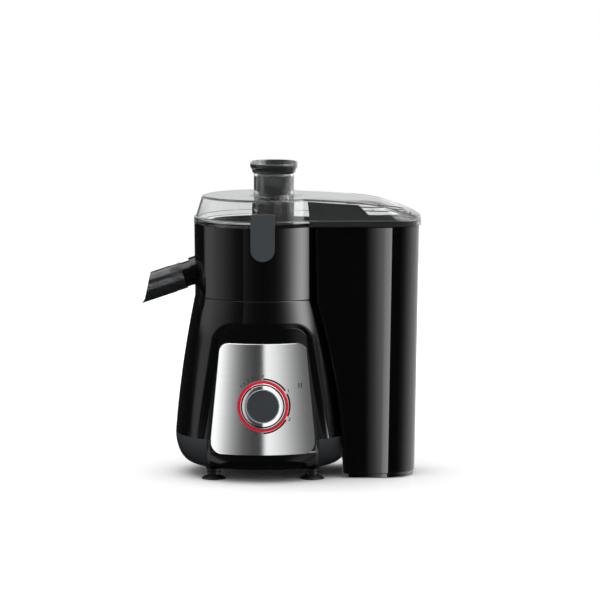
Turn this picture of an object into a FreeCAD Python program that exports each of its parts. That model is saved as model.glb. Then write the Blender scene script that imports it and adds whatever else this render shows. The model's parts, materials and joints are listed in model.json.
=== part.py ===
import FreeCAD, Part
import math
import os

# Centrifugal juicer, in millimetres.  The drive axis is x = y = 0 while the pieces are modelled,
# +Z is up, the pulp container is on +X and the user stands at -Y.  Every piece is moved at the end
# so that the origin is the centre of the whole machine's footprint, at the worktop.

V = FreeCAD.Vector
UP = V(0, 0, 1)

# ---------------------------------------------------------------- driving dimensions
# clearances
fixed_fit = 0.05            # screws, plugs and rings pressed or screwed into their seats
running_fit = 0.05          # shafts in bearings, the dial spindle in its bush
loose_gap = 0.3             # pieces of different bodies that pass close to each other
cut_reach = 400.0           # cutting shapes that pass right through the machine

# motor housing and tub: one body of revolution, parted at its widest level
wall = 2.8
housing_top_z = 224.0
housing_top_r = 85.0
housing_mid_z = (housing_top_z + 50.0) / 2
housing_mid_r = housing_top_r + 15.3
parting_z = 52.0
parting_r = housing_top_r + 24.6
tub_bottom_z = 14.0
tub_flat_r = parting_r - 22.0
deck_thickness = 3.0
spigot_r = housing_top_r - 3.5
spigot_wall = 2.8
spigot_height = 9.0
tongue_half_width = 69.0
tongue_bottom_z = 19.0
lip_height = 4.0

# arched recess in the front of the housing, its floor is a cone around the drive axis
bib_top_z = housing_top_z - 28.3
bib_top_half_width = 64.8
bib_side_slope = 0.163
bib_corner_r = 20.0
bib_low_z = 40.0
bib_low_r = parting_r - 2.6
bib_high_z = housing_top_z - 34.0
bib_high_r = housing_top_r + 3.5

# brushed control panel
panel_bottom_z = 35.6
panel_top_z = housing_top_z - 52.2
panel_bottom_half_width = 67.5
panel_top_half_width = 54.4
panel_corner_r = 12.0
panel_thickness = 1.2

# dial
dial_z = 96.0
knob_r = 25.5
knob_cap_r = 19.9
knob_height = 13.0
knob_lift = 1.3
well_r = 26.9
trim_ring_r = 28.7
red_ring_r = 31.7
dial_seat_height = 1.0
spindle_r = 3.0
bush_r = 5.0
switch_size = 28.0
switch_depth = 22.0
nut_width = 13.0
nut_thickness = 2.5

# feet
foot_x = tub_flat_r - 26.6
foot_y = tub_flat_r - 26.6
foot_disc_r = 15.0
foot_neck_r = 8.75
foot_stem_r = 5.0
foot_seat_z = 13.0
foot_boss_r = 10.0
foot_boss_top_z = 18.5

# tub screws and their columns
column_place_r = housing_top_r - 9.0
column_r = 5.0
column_angles = (25.0, 155.0, 205.0, 335.0)
column_foot_z = 47.0
screw_r = 2.0
screw_head_r = 3.8
screw_head_height = 2.6
screw_grip = 12.0

# cord gland
gland_z = 33.0
gland_bore_r = 3.6
gland_body_r = 6.5
gland_flange_r = 9.0
gland_length = 14.0
gland_flange_thickness = 2.5

# motor, from its bottom bearing to its fan
shaft_r = 4.0
shaft_bottom_z = housing_top_z - 134.0
bearing_r = 11.0
bearing_width = 7.0
bearing_cup_wall = 2.2
ball_r = 1.4
bearing_balls = 8
lower_plate_z = housing_top_z - 124.0
plate_thickness = 3.0
bracket_vent_half_width = 11.0
stack_bottom_z = housing_top_z - 92.0
stack_height = 45.0
stator_r = 44.0
stator_ring_inner_r = 36.0
stator_bore_r = 23.0
pole_half_width = 15.0
coil_thickness = 4.2
rotor_core_r = 22.3
rotor_slots = 12
commutator_r = 12.0
commutator_z = housing_top_z - 116.0
commutator_height = 14.0
fan_z = housing_top_z - 38.0
fan_height = 12.0
fan_r = 32.0
fan_blades = 11
upper_plate_z = housing_top_z - 21.0
leg_place_r = 38.5
leg_r = 4.2
damper_place_r = 54.0
damper_r = 6.0
damper_height = 8.0
brush_width = 6.0
brush_length = 18.0
brush_channel_length = 24.0
spring_leaf = 0.4
spring_folds = 5

# shaft seal in the deck
seal_boss_r = 14.0
seal_boss_top_z = housing_top_z + 7.0
seal_r = 9.0
seal_height = 6.5
seal_ledge_z = housing_top_z - 1.0
seal_ledge_r = 6.0

# juice bowl
bowl_seam = 0.4
bowl_wall = 2.6
bowl_bottom_r = housing_top_r + 0.2
bowl_top_r = bowl_bottom_r + 0.8
bowl_top_z = housing_top_z + 90.0
bowl_floor = 2.6
chimney_r = 16.0
chimney_wall = 2.0
chimney_top_z = housing_top_z + 20.0
window_half_depth = 52.0
window_sill_z = bowl_top_z - 12.0
sill_thickness = 2.0
sill_reach_r = bowl_top_r + 11.0

# juice nozzle and the turning spout on it
spout_tilt = 18.5
nozzle_x = -housing_top_r
nozzle_z = housing_top_z + 28.3
nozzle_r = 15.5
nozzle_bore_r = 12.8
nozzle_length = 36.0
nozzle_root = -6.0
nozzle_collar_r = 18.5
nozzle_collar_length = 3.0
spout_start = 14.7
spout_r = 17.2
spout_bore_r = 14.6
spout_top_length = 53.3
spout_tip_length = 76.0
grip_grooves = 5
grip_pitch = 2.6
oring_place = 27.0
oring_wire_r = 0.75
oring_groove_depth = 1.3

# basket
coupling_z = housing_top_z + 9.0
coupling_height = 14.0
coupling_r = 11.0
coupling_dogs = 6
hub_wall = 3.0
grating_z = housing_top_z + 28.0
grating_thickness = 1.6
grating_r = 47.0
tooth_height = 1.3
mesh_bottom_r = grating_r + 1.0
mesh_top_r = 66.0
mesh_bottom_z = housing_top_z + 30.0
mesh_top_z = housing_top_z + 76.0
mesh_thickness = 0.8
basket_rim_r = mesh_top_r + 3.0
basket_rim_top_z = housing_top_z + 80.5

# lid
lid_wall = 2.2
lid_band_height = 8.0
lid_band_r = bowl_top_r + 0.3
lid_band_half_depth = 67.8
lid_band_end_x = 196.5
lid_band_corner_r = 42.0
lid_shoulder = 2.3
lid_top_z = bowl_top_z + 34.0
dome_top_r = lid_band_r - 10.3
hood_low_half_depth = 66.0
hood_low_end_x = 195.0
hood_corner_r = 42.0
hood_side_slope = 0.346
hood_end_slope = 1.2
hood_end_top_z = bowl_top_z + 28.0
hood_slope_start_x = 57.0
hood_end_x = 171.0
lid_skirt_depth = 5.0
lid_skirt_wall = 2.2
lid_skirt_end_x = 20.0
lid_grip_half_width = 16.0
chute_x = 13.4
chute_width = 50.0
chute_depth = 73.0
chute_wall = 2.5
chute_top_z = bowl_top_z + 63.0
chute_bottom_z = bowl_top_z - 56.0

# pusher
pusher_gap = 0.7
pusher_wall = 2.4
pusher_bottom_z = bowl_top_z - 54.0
pusher_rim_low_width = 53.0
pusher_rim_top_width = 59.0
pusher_top_z = bowl_top_z + 75.0

# pulp deflector, a wall of the bowl that stands up inside the lid
deflector_wall = 2.0
deflector_gap = 1.2
deflector_left_x = 57.0
deflector_left_lean = 7.6
deflector_inner_y = 20.0

# latches
latch_width = 30.0
latch_bottom_z = bowl_top_z - 40.0
latch_top_z = bowl_top_z + 18.0
latch_inner_y = bowl_top_r + 0.8
latch_thickness = 7.0
latch_pivot_y = bowl_top_r + 4.0
latch_pivot_z = bowl_top_z - 37.0
latch_pin_r = 1.2
latch_pin_length = 18.0
knuckle_r = 2.3
knuckle_half_width = 5.5
knuckle_stem = 1.5
hook_half_width = 9.0
hook_reach_y = bowl_top_r - 1.6
hook_slope = 50.0
hook_height = 5.0

# pulp container
container_gap = 4.0
container_wall = 2.2
container_top_z = bowl_top_z - 0.3
container_floor_z = 5.0
container_foot_z = 0.5
container_top_half_depth = 66.0
container_bottom_half_depth = 61.0
container_top_x = 194.0
container_bottom_x = 189.0
container_corner_r = 41.0

# ---------------------------------------------------------------- derived levels
deck_z = housing_top_z - deck_thickness
bowl_floor_z = housing_top_z + spigot_height
bib_slope = (bib_low_r - bib_high_r) / (bib_high_z - bib_low_z)
dial_tilt = math.degrees(math.atan(bib_slope))
stack_top_z = stack_bottom_z + stack_height
upper_plate_top_z = upper_plate_z + plate_thickness
lower_plate_top_z = lower_plate_z + plate_thickness
bolt_angles = (45.0, 135.0, 225.0, 315.0)
damper_angles = (0.0, 90.0, 180.0, 270.0)
commutator_mid_z = commutator_z + commutator_height / 2
lid_bottom_z = bowl_top_z
lid_shoulder_z = lid_bottom_z + lid_band_height
hub_r = coupling_r + loose_gap + hub_wall
hub_top_z = coupling_z + coupling_height + loose_gap


# ---------------------------------------------------------------- shape helpers
def cylinder(radius, low, high, x=0.0, y=0.0):
    """Upright cylinder between two levels."""
    return Part.makeCylinder(radius, high - low, V(x, y, low))


def ring(inner, outer, low, high, x=0.0, y=0.0):
    """Upright tube between two levels."""
    return cylinder(outer, low, high, x, y).cut(cylinder(inner, low - 1, high + 1, x, y))


def block(x0, x1, y0, y1, z0, z1):
    """Box between two corners."""
    return Part.makeBox(x1 - x0, y1 - y0, z1 - z0, V(x0, y0, z0))


def polar(radius, angle):
    """The (x, y) of a point at a radius and an angle in degrees."""
    turn = math.radians(angle)
    return radius * math.cos(turn), radius * math.sin(turn)


def turned(shape, angle, origin=V(0, 0, 0), axis=UP):
    """A copy of the shape, turned about an axis."""
    copy = shape.copy()
    copy.rotate(origin, axis, angle)
    return copy


def around(shape, angles):
    """One copy of the shape at each angle about the drive axis."""
    return [turned(shape, angle) for angle in angles]


def revolved(edges):
    """Solid of revolution about the drive axis from a closed chain of edges in the XZ plane."""
    return Part.Face(Part.Wire(edges)).revolve(V(0, 0, 0), UP, 360)


def revolved_polygon(points):
    """Solid of revolution from (radius, z) corners."""
    loop = [V(r, 0, z) for r, z in points]
    return revolved([Part.makeLine(a, b) for a, b in zip(loop, loop[1:] + loop[:1])])


def rounded_face(corners, to_space):
    """Flat face with rounded corners, each (a, b, radius); to_space maps (a, b) to a point."""
    arcs = []
    for i, (bx, by, radius) in enumerate(corners):
        last_x, last_y = corners[i - 1][:2]
        next_x, next_y = corners[(i + 1) % len(corners)][:2]
        back = V(last_x - bx, last_y - by, 0).normalize()
        ahead = V(next_x - bx, next_y - by, 0).normalize()
        half = back.getAngle(ahead) / 2
        inward = (back + ahead).normalize()
        corner = V(bx, by, 0)
        run = radius / math.tan(half)
        middle = corner + inward * (radius / math.sin(half) - radius)
        arcs.append((corner + back * run, middle, corner + ahead * run, radius))
    edges = []
    for i, (start, middle, end, radius) in enumerate(arcs):
        last = arcs[i - 1][2]
        if (start - last).Length > 1e-6:
            edges.append(Part.makeLine(to_space(last.x, last.y), to_space(start.x, start.y)))
        if radius > 0:
            points = [to_space(p.x, p.y) for p in (start, middle, end)]
            edges.append(Part.Arc(*points).toShape())
    return Part.Face(Part.Wire(Part.sortEdges(edges)[0]))


def front_prism(corners, y0, y1):
    """Prism with an outline of (x, z, radius) corners seen from the front, from y0 to y1."""
    face = rounded_face(corners, lambda a, b: V(a, y0, b))
    return face.extrude(V(0, y1 - y0, 0))


def side_prism(points, x0, x1):
    """Prism with an outline of (y, z) corners seen from the side, from x0 to x1."""
    face = rounded_face([(y, z, 0) for y, z in points], lambda a, b: V(x0, a, b))
    return face.extrude(V(x1 - x0, 0, 0))


def plan_corners(x0, x1, half_depth, corner_r):
    """Plan outline from x0 to x1, round at its +X corners."""
    return [(x0, -half_depth, 0), (x1, -half_depth, corner_r),
            (x1, half_depth, corner_r), (x0, half_depth, 0)]


def plan_prism(corners, low, high):
    """Prism with a plan outline of (x, y, radius) corners between two levels."""
    face = rounded_face(corners, lambda a, b: V(a, b, low))
    return face.extrude(V(0, 0, high - low))


def plan_loft(low_corners, low, high_corners, high):
    """Straight-sided body between a low and a high plan outline."""
    bottom = rounded_face(low_corners, lambda a, b: V(a, b, low)).OuterWire
    top = rounded_face(high_corners, lambda a, b: V(a, b, high)).OuterWire
    return Part.makeLoft([bottom, top], True, True)


def obround(width, depth, low, high):
    """Upright prism around the feed chute's axis, round at both ends of its depth."""
    half = width / 2
    straight = (depth - width) / 2
    middle = block(chute_x - half, chute_x + half, -straight, straight, low, high)
    ends = [cylinder(half, low, high, chute_x, side * straight) for side in (-1, 1)]
    return middle.fuse(ends).removeSplitter()


# ---------------------------------------------------------------- housing and tub
def body_shape(inset):
    """Motor housing and tub together, solid, shrunk by an inset on its sides and bottom."""
    bottom_z = tub_bottom_z + inset
    flat = V(tub_flat_r, 0, bottom_z)
    widest = V(parting_r - inset, 0, parting_z)
    middle = V(housing_mid_r - inset, 0, housing_mid_z)
    top = V(housing_top_r - inset, 0, housing_top_z)
    centre = V(tub_flat_r, 0, parting_z)
    curve = Part.ArcOfEllipse(Part.Ellipse(flat, widest, centre), 0, math.pi / 2).toShape()
    return revolved([
        Part.makeLine(V(0, 0, bottom_z), flat), curve,
        Part.Arc(widest, middle, top).toShape(),
        Part.makeLine(top, V(0, 0, housing_top_z)),
        Part.makeLine(V(0, 0, housing_top_z), V(0, 0, bottom_z)),
    ])


def bib_radius(z):
    """Radius of the bib recess's floor at a level."""
    return bib_low_r - (z - bib_low_z) * bib_slope


def bib_cone(offset):
    """Solid inside the bib recess's floor, moved out by an offset."""
    low, high = 0.0, housing_top_z + 10
    return revolved_polygon([(0, low), (bib_radius(low) + offset, low),
                             (bib_radius(high) + offset, high), (0, high)])


def bib_prism(grow):
    """The arch of the bib recess seen from the front, grown by an amount, on the front side only."""
    half_low = bib_top_half_width + (bib_top_z - tub_bottom_z) * bib_side_slope + grow
    half_top = bib_top_half_width + grow
    corners = [(-half_low, tub_bottom_z, 0), (half_low, tub_bottom_z, 0),
               (half_top, bib_top_z + grow, bib_corner_r), (-half_top, bib_top_z + grow, bib_corner_r)]
    return front_prism(corners, -parting_r - 20, -30)


def tongue_prism(grow):
    """The piece of the housing that runs down the front below the parting line."""
    half = tongue_half_width + grow
    return block(-half, half, -parting_r - 20, -30, tongue_bottom_z - grow, parting_z)


def slab(low, high):
    """Everything between two levels."""
    return cylinder(parting_r + 40, low, high)


def column_places():
    """(x, y) of the tub screws."""
    return [polar(column_place_r, angle) for angle in column_angles]


def in_dial_frame(shape):
    """Place a shape modelled about +Z on the dial's axis, its zero on the panel's face."""
    out = bib_radius(dial_z) + fixed_fit * 2 + panel_thickness
    shape.Placement = FreeCAD.Placement(V(0, -out, dial_z), FreeCAD.Rotation(V(1, 0, 0), 90 - dial_tilt))
    return shape


def make_housing():
    """Gloss upper housing with its deck, spigot, seal boss, screw columns and damper posts."""
    outer = body_shape(0)
    inner = body_shape(wall).common(slab(0, deck_z))
    backing = outer.common(bib_prism(wall)).cut(bib_cone(-wall))
    recess = bib_prism(0).cut(bib_cone(0))
    shell = outer.cut(inner).fuse(backing).cut(recess)
    upper = shell.common(slab(parting_z, housing_top_z))
    tongue = shell.common(tongue_prism(0))
    spigot = ring(spigot_r - spigot_wall, spigot_r, deck_z, bowl_floor_z)
    boss = cylinder(seal_boss_r, deck_z - 2, seal_boss_top_z)
    columns = [cylinder(column_r, column_foot_z, deck_z + 1, x, y) for x, y in column_places()]
    post_low = upper_plate_top_z + damper_height
    posts = [cylinder(damper_r, post_low, deck_z + 1, *polar(damper_place_r, a)) for a in damper_angles]
    housing = upper.fuse([tongue, spigot, boss] + columns + posts)
    thread_r = screw_r + fixed_fit
    holes = [cylinder(thread_r, column_foot_z - 1, column_foot_z + screw_grip + 2, x, y)
             for x, y in column_places()]
    holes += [cylinder(thread_r, post_low - 1, deck_z - 1, *polar(damper_place_r, angle))
              for angle in damper_angles]
    holes.append(cylinder(seal_ledge_r, deck_z - 5, seal_boss_top_z))
    holes.append(cylinder(seal_r + fixed_fit, seal_ledge_z, seal_boss_top_z + 1))
    holes.append(in_dial_frame(Part.makeCylinder(bush_r + fixed_fit, 40, V(0, 0, -20))))
    return housing.cut(holes).removeSplitter()


def board_posts():
    """(x, y) of the control board's posts on the tub floor."""
    return [(sx * 28.0, -40.0 + sy * 16.0) for sx in (-1, 1) for sy in (-1, 1)]


def make_base_tub():
    """Charcoal tub with foot bosses, screw posts, vents, board posts and the cord gland's boss."""
    floor_z = tub_bottom_z + wall
    shell = body_shape(0).cut(body_shape(wall)).common(slab(0, parting_z))
    shell = shell.cut(tongue_prism(loose_gap))
    lip_r = parting_r - wall - 2 * loose_gap
    lip = ring(lip_r - 1.8, lip_r, parting_z - 5, parting_z + lip_height).cut(bib_prism(wall + 1))
    bridge = ring(lip_r - 1.8, parting_r - wall + 0.5, parting_z - 5, parting_z - 2).cut(bib_prism(wall + 1))
    posts = [cylinder(column_r + 0.8, floor_z - 1, column_foot_z, x, y) for x, y in column_places()]
    bosses = [cylinder(foot_boss_r, foot_seat_z, foot_boss_top_z, sx * foot_x, sy * foot_y)
              for sx in (-1, 1) for sy in (-1, 1)]
    stands = [cylinder(2.6, floor_z - 1, 26.0, x, y) for x, y in board_posts()]
    y_out = gland_seat_y()
    gland_boss = Part.makeCylinder(gland_flange_r + 1.5, 16, V(0, y_out - 16, gland_z), V(0, 1, 0))
    gland_boss = gland_boss.cut(cylinder(y_out - gland_length + gland_flange_thickness, 0, parting_z))
    tub = shell.fuse([lip, bridge, gland_boss] + posts + bosses + stands)
    cuts = [cylinder(foot_stem_r + 0.2, 0, 30, sx * foot_x, sy * foot_y) for sx in (-1, 1) for sy in (-1, 1)]
    cuts += [cylinder(screw_r + 0.3, 0, column_foot_z + 1, x, y) for x, y in column_places()]
    cuts += [cylinder(screw_head_r + 0.4, 0, screw_seat_z(), x, y) for x, y in column_places()]
    cuts += [block(x - 1.7, x + 1.7, 4, 52, 0, floor_z + 1) for x in range(-36, 37, 9)]
    cuts.append(Part.makeCylinder(gland_body_r + fixed_fit, 60, V(0, y_out - 40, gland_z), V(0, 1, 0)))
    return tub.cut(cuts).removeSplitter()


def screw_seat_z():
    """Level of the screw heads' seats inside the tub posts."""
    return tub_bottom_z + 10.0


def make_tub_screws():
    """The screws that hold the tub to the housing, heads down."""
    seat = screw_seat_z()
    screws = []
    for x, y in column_places():
        face_z = seat - screw_head_height
        head = cylinder(screw_head_r, face_z, seat, x, y)
        slot = block(x - 2.6, x + 2.6, y - 0.5, y + 0.5, face_z - 1, face_z + 1.2)
        cross = block(x - 0.5, x + 0.5, y - 2.6, y + 2.6, face_z - 1, face_z + 1.2)
        shank = cylinder(screw_r, seat, column_foot_z + screw_grip, x, y)
        screws.append(head.fuse(shank).cut([slot, cross]))
    return Part.makeCompound(screws)


def make_foot(x, y):
    """Rubber suction foot with a ribbed neck and a stem that snaps through the tub."""
    low, high = foot_seat_z - 7.4, foot_seat_z
    waist = foot_neck_r - 1.6
    stem_top = foot_boss_top_z + 2.0
    points = [(0, 2.4), (foot_disc_r - 3.2, 0.0), (foot_disc_r, 0.0), (foot_disc_r, 1.0),
              (foot_disc_r - 2.4, 2.9),
              (foot_neck_r, 4.6), (waist, low), (waist, low + 1.3), (foot_neck_r, low + 1.9),
              (foot_neck_r, low + 3.4), (waist, low + 4.0), (waist, low + 4.8), (foot_neck_r, low + 5.4),
              (foot_neck_r, high), (foot_stem_r, high), (foot_stem_r, foot_boss_top_z),
              (foot_stem_r + 2.2, foot_boss_top_z), (foot_stem_r, stem_top), (0, stem_top)]
    foot = revolved_polygon(points)
    foot.translate(V(x, y, 0))
    return foot


def gland_seat_y():
    """Depth of the flat seat of the cord gland's flange at the back of the tub."""
    return parting_r - 0.6


def make_cord_gland():
    """Grommet in the back of the tub, where a mains cord would enter."""
    seat = gland_seat_y()
    inner_y = seat + gland_flange_thickness - gland_length
    backwards = V(0, 1, 0)
    body = Part.makeCylinder(gland_body_r, gland_length, V(0, inner_y, gland_z), backwards)
    flange = Part.makeCylinder(gland_flange_r, gland_flange_thickness, V(0, seat, gland_z), backwards)
    hole = Part.makeCylinder(gland_bore_r, gland_length + 4, V(0, inner_y - 2, gland_z), backwards)
    return body.fuse(flange).cut(hole).removeSplitter()


# ---------------------------------------------------------------- control panel and dial
def make_control_panel():
    """Thin brushed sheet, rolled to the bib recess's cone, with the dial's hole."""
    corners = [(-panel_bottom_half_width, panel_bottom_z, panel_corner_r),
               (panel_bottom_half_width, panel_bottom_z, panel_corner_r),
               (panel_top_half_width, panel_top_z, panel_corner_r),
               (-panel_top_half_width, panel_top_z, panel_corner_r)]
    outline = front_prism(corners, -parting_r - 20, -30)
    back = fixed_fit * 2
    sheet = outline.common(bib_cone(back + panel_thickness)).cut(bib_cone(back))
    return sheet.cut(in_dial_frame(Part.makeCylinder(bush_r + fixed_fit, 40, V(0, 0, -20))))


def above_panel(shape):
    """The part of a dial piece that stands in front of the panel."""
    return shape.cut(bib_cone(fixed_fit * 3 + panel_thickness))


def dial_ring(inner, outer, height):
    """Ring around the dial from the curved panel up to a flat face."""
    low = -9.0
    bore = Part.makeCylinder(inner, 40, V(0, 0, low - 5))
    tube = Part.makeCylinder(outer, height - low, V(0, 0, low)).cut(bore)
    return above_panel(in_dial_frame(tube))


def make_dial_seat():
    """Black plate under the knob."""
    return dial_ring(nut_width * 0.63, well_r, dial_seat_height)


def make_dial_trim_ring():
    """Bright thin ring around the knob's well."""
    return dial_ring(well_r + fixed_fit, trim_ring_r, dial_seat_height + 1.0)


def make_dial_red_ring():
    """Red ring around the bright ring."""
    return dial_ring(trim_ring_r + fixed_fit, red_ring_r, dial_seat_height + 0.4)


def make_switch_body():
    """Rotary switch behind the panel, with the threaded bush that holds it."""
    front = -(panel_thickness + wall + fixed_fit * 2 + 1.3)
    half = switch_size / 2
    case = block(-half, half, -half, half, front - switch_depth, front)
    tabs = [block(x - 1.5, x + 1.5, half, half + 6, front - 14, front - 13) for x in (-9, -3, 3, 9)]
    bush = Part.makeCylinder(bush_r, nut_thickness + 0.6 - front, V(0, 0, front))
    bore = Part.makeCylinder(spindle_r + running_fit, switch_depth + 20, V(0, 0, front - switch_depth + 3))
    return in_dial_frame(case.fuse(tabs + [bush]).cut(bore).removeSplitter())


def make_switch_nut():
    """Hexagon nut on the switch's bush."""
    reach = nut_width / 2 / math.cos(math.pi / 6)
    corners = [V(*polar(reach, 60 * i), 0) for i in range(6)]
    prism = Part.Face(Part.makePolygon(corners + corners[:1])).extrude(V(0, 0, nut_thickness))
    prism.translate(V(0, 0, 0.1))
    return in_dial_frame(prism.cut(Part.makeCylinder(bush_r + fixed_fit, 20, V(0, 0, -5))))


def make_knob_ring():
    """Bright outer ring of the knob, with the shelf that carries the cap."""
    top = knob_lift + knob_height
    body = Part.makeCylinder(knob_r, knob_height, V(0, 0, knob_lift))
    well = Part.makeCylinder(knob_cap_r, 10, V(0, 0, cap_seat_height()))
    hollow = Part.makeCylinder(knob_r - 2.2, cap_seat_height() - 2.0 - knob_lift, V(0, 0, knob_lift))
    opening = Part.makeCylinder(knob_cap_r - 5, 40, V(0, 0, -5))
    tick = block(-0.7, 0.7, knob_cap_r + 1, knob_r - 1, top - 0.5, top + 1)
    return in_dial_frame(body.cut([well, hollow, opening, tick]))


def cap_seat_height():
    """Height of the shelf inside the knob ring above the panel."""
    return knob_lift + knob_height - 3.4


def make_knob_cap():
    """Dark flat cap of the knob with its spindle socket."""
    seat = cap_seat_height()
    disc = Part.makeCylinder(knob_cap_r - 0.1, 3.9, V(0, 0, seat))
    socket_low = nut_thickness + 1.8
    socket = Part.makeCylinder(spindle_r + 2.6, seat - socket_low + 1, V(0, 0, socket_low))
    bore = Part.makeCylinder(spindle_r + fixed_fit, seat - socket_low + 2.0, V(0, 0, socket_low - 0.5))
    return in_dial_frame(disc.fuse(socket).cut(bore).removeSplitter())


def make_switch_shaft():
    """Spindle that joins the knob to the switch."""
    return in_dial_frame(Part.makeCylinder(spindle_r, cap_seat_height() + 1.0 + 18.0, V(0, 0, -18.0)))


def make_control_board():
    """Speed control board on the tub's posts, with its parts."""
    low = 26.0
    board = block(-34, 34, -62, -18, low, low + 1.6)
    sink = block(-24, -6, -50, -30, low + 1.6, low + 14)
    choke = cylinder(7, low + 1.6, low + 12, 8, -40)
    film = block(18, 30, -50, -36, low + 1.6, low + 11)
    fins = [block(-24 + 3 * i, -22.6 + 3 * i, -50, -30, low + 14, low + 20) for i in range(6)]
    return board.fuse([sink, choke, film] + fins).removeSplitter()


# ---------------------------------------------------------------- motor
def make_motor_stator():
    """Laminated field ring with two poles."""
    body = ring(stator_ring_inner_r, stator_r, stack_bottom_z, stack_top_z)
    poles = block(-stator_ring_inner_r - 2, stator_ring_inner_r + 2, -pole_half_width, pole_half_width,
                  stack_bottom_z, stack_top_z)
    holes = [cylinder(screw_r + 0.3, stack_bottom_z - 1, stack_top_z + 1, *polar(leg_place_r, angle))
             for angle in bolt_angles]
    return body.fuse(poles).cut([cylinder(stator_bore_r, 0, cut_reach)] + holes).removeSplitter()


def make_field_coils():
    """The two field windings, each a frame around its pole."""
    coils = []
    gap = 0.3
    for side in (-1, 1):
        near, far = stator_bore_r + 2.5, stator_bore_r + 7.0
        x0, x1 = sorted((side * near, side * far))
        half = pole_half_width + gap + coil_thickness
        reach = gap + coil_thickness
        frame = block(x0, x1, -half, half, stack_bottom_z - reach, stack_top_z + reach)
        window = block(x0 - 1, x1 + 1, -pole_half_width - gap, pole_half_width + gap,
                       stack_bottom_z - gap, stack_top_z + gap)
        coils.append(frame.cut(window))
    return Part.makeCompound(coils)


def bracket(plate_low, cup_low, cup_high, leg_low, leg_high):
    """Motor end bracket: spoked plate, bearing cup and four legs to the stator."""
    plate_high = plate_low + plate_thickness
    plate = cylinder(stator_r, plate_low, plate_high)
    slot = block(0, cut_reach, -bracket_vent_half_width, bracket_vent_half_width, 0, cut_reach)
    vents = around(ring(bearing_r + 6, leg_place_r - leg_r - 3, plate_low - 1, plate_high + 1)
                   .common(slot), damper_angles)
    legs = [cylinder(leg_r, leg_low, leg_high, *polar(leg_place_r, a)) for a in bolt_angles]
    cup = cylinder(bearing_r + bearing_cup_wall, cup_low, cup_high)
    holes = [cylinder(screw_r + 0.3, 0, cut_reach, *polar(leg_place_r, a)) for a in bolt_angles]
    return plate.fuse([cup] + legs), vents + holes


def lower_bearing_z():
    """Level of the lower bearing's underside."""
    return lower_plate_z - bearing_width - 1.0


def upper_bearing_z():
    """Level of the upper bearing's underside."""
    return upper_plate_z + 2.0


def make_lower_bracket():
    """Bracket under the stator, open upwards around the lower bearing."""
    low = lower_bearing_z()
    body, cuts = bracket(lower_plate_z, low - 1.5, lower_plate_top_z, lower_plate_z, stack_bottom_z)
    cuts.append(cylinder(bearing_r + fixed_fit, low, lower_plate_top_z + 1))
    cuts.append(cylinder(bearing_r - 4, low - 5, low + 1))
    return body.cut(cuts).removeSplitter()


def make_upper_bracket():
    """Bracket above the fan with four arms that hang from the rubber dampers."""
    low = upper_bearing_z()
    top = low + bearing_width
    body, cuts = bracket(upper_plate_z, upper_plate_z, top + 1.5, stack_top_z, upper_plate_z + 1)
    arm = block(bearing_r, damper_place_r, -damper_r, damper_r, upper_plate_z, upper_plate_top_z)
    arm = arm.fuse(cylinder(damper_r, upper_plate_z, upper_plate_top_z, damper_place_r, 0))
    arm = arm.cut(cylinder(screw_r + 0.3, 0, cut_reach, damper_place_r, 0))
    body = body.cut(cuts).fuse(around(arm, damper_angles))
    cuts = [cylinder(bearing_r + fixed_fit, upper_plate_z - 1, top),
            cylinder(bearing_r - 4, top - 1, top + 5)]
    return body.cut(cuts).removeSplitter()


def make_bearing(low):
    """Shielded ball bearing: outer race, inner race, two shields and the balls between them."""
    high = low + bearing_width
    track_r = (shaft_r + bearing_r) / 2
    outer = ring(track_r + ball_r, bearing_r, low, high)
    inner = ring(shaft_r + running_fit, track_r - ball_r, low, high)
    shields = [ring(track_r - ball_r + 0.1, track_r + ball_r - fixed_fit, z, z + 0.6)
               for z in (low + 0.3, high - 0.9)]
    profile = [polar(ball_r - fixed_fit, angle) for angle in range(-90, 91, 20)]
    ball = revolved_polygon([(max(r, 0), z) for r, z in profile])
    ball.translate(V(track_r, 0, low + bearing_width / 2))
    balls = around(ball, [360 / bearing_balls * i for i in range(bearing_balls)])
    return Part.makeCompound([outer, inner] + shields + balls)


def make_motor_bolts():
    """Long bolts through both brackets and the stator, heads on top."""
    bolts = []
    for angle in bolt_angles:
        x, y = polar(leg_place_r, angle)
        head = cylinder(screw_head_r, upper_plate_top_z, upper_plate_top_z + screw_head_height, x, y)
        shank = cylinder(screw_r, lower_plate_z - 4, upper_plate_top_z, x, y)
        nut = cylinder(screw_head_r, lower_plate_z - 3, lower_plate_z, x, y)
        bolts.append(shank.fuse([head, nut]).removeSplitter())
    return Part.makeCompound(bolts)


def make_brush_holders():
    """Two insulating boxes on the lower bracket that guide the brushes."""
    holders = []
    for side in (-1, 1):
        x0, x1 = sorted((side * (commutator_r + 4), side * (commutator_r + brush_channel_length + 2)))
        half = brush_width / 2 + 2.4
        body = block(x0, x1, -half, half, lower_plate_top_z, commutator_mid_z + half)
        inner_half = brush_width / 2 + 0.2
        x2, x3 = sorted((side * (commutator_r + 3), side * (commutator_r + brush_channel_length)))
        channel = block(x2, x3, -inner_half, inner_half,
                        commutator_mid_z - inner_half, commutator_mid_z + inner_half)
        holders.append(body.cut(channel))
    return Part.makeCompound(holders)


def make_carbon_brushes():
    """Two carbon brushes against the commutator."""
    half = brush_width / 2
    track = cylinder(commutator_r + loose_gap, 0, cut_reach)
    brushes = []
    for side in (-1, 1):
        x0, x1 = sorted((side * (commutator_r - 2), side * (commutator_r + brush_length)))
        brush = block(x0, x1, -half, half, commutator_mid_z - half, commutator_mid_z + half)
        brushes.append(brush.cut(track))
    return Part.makeCompound(brushes)


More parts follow.
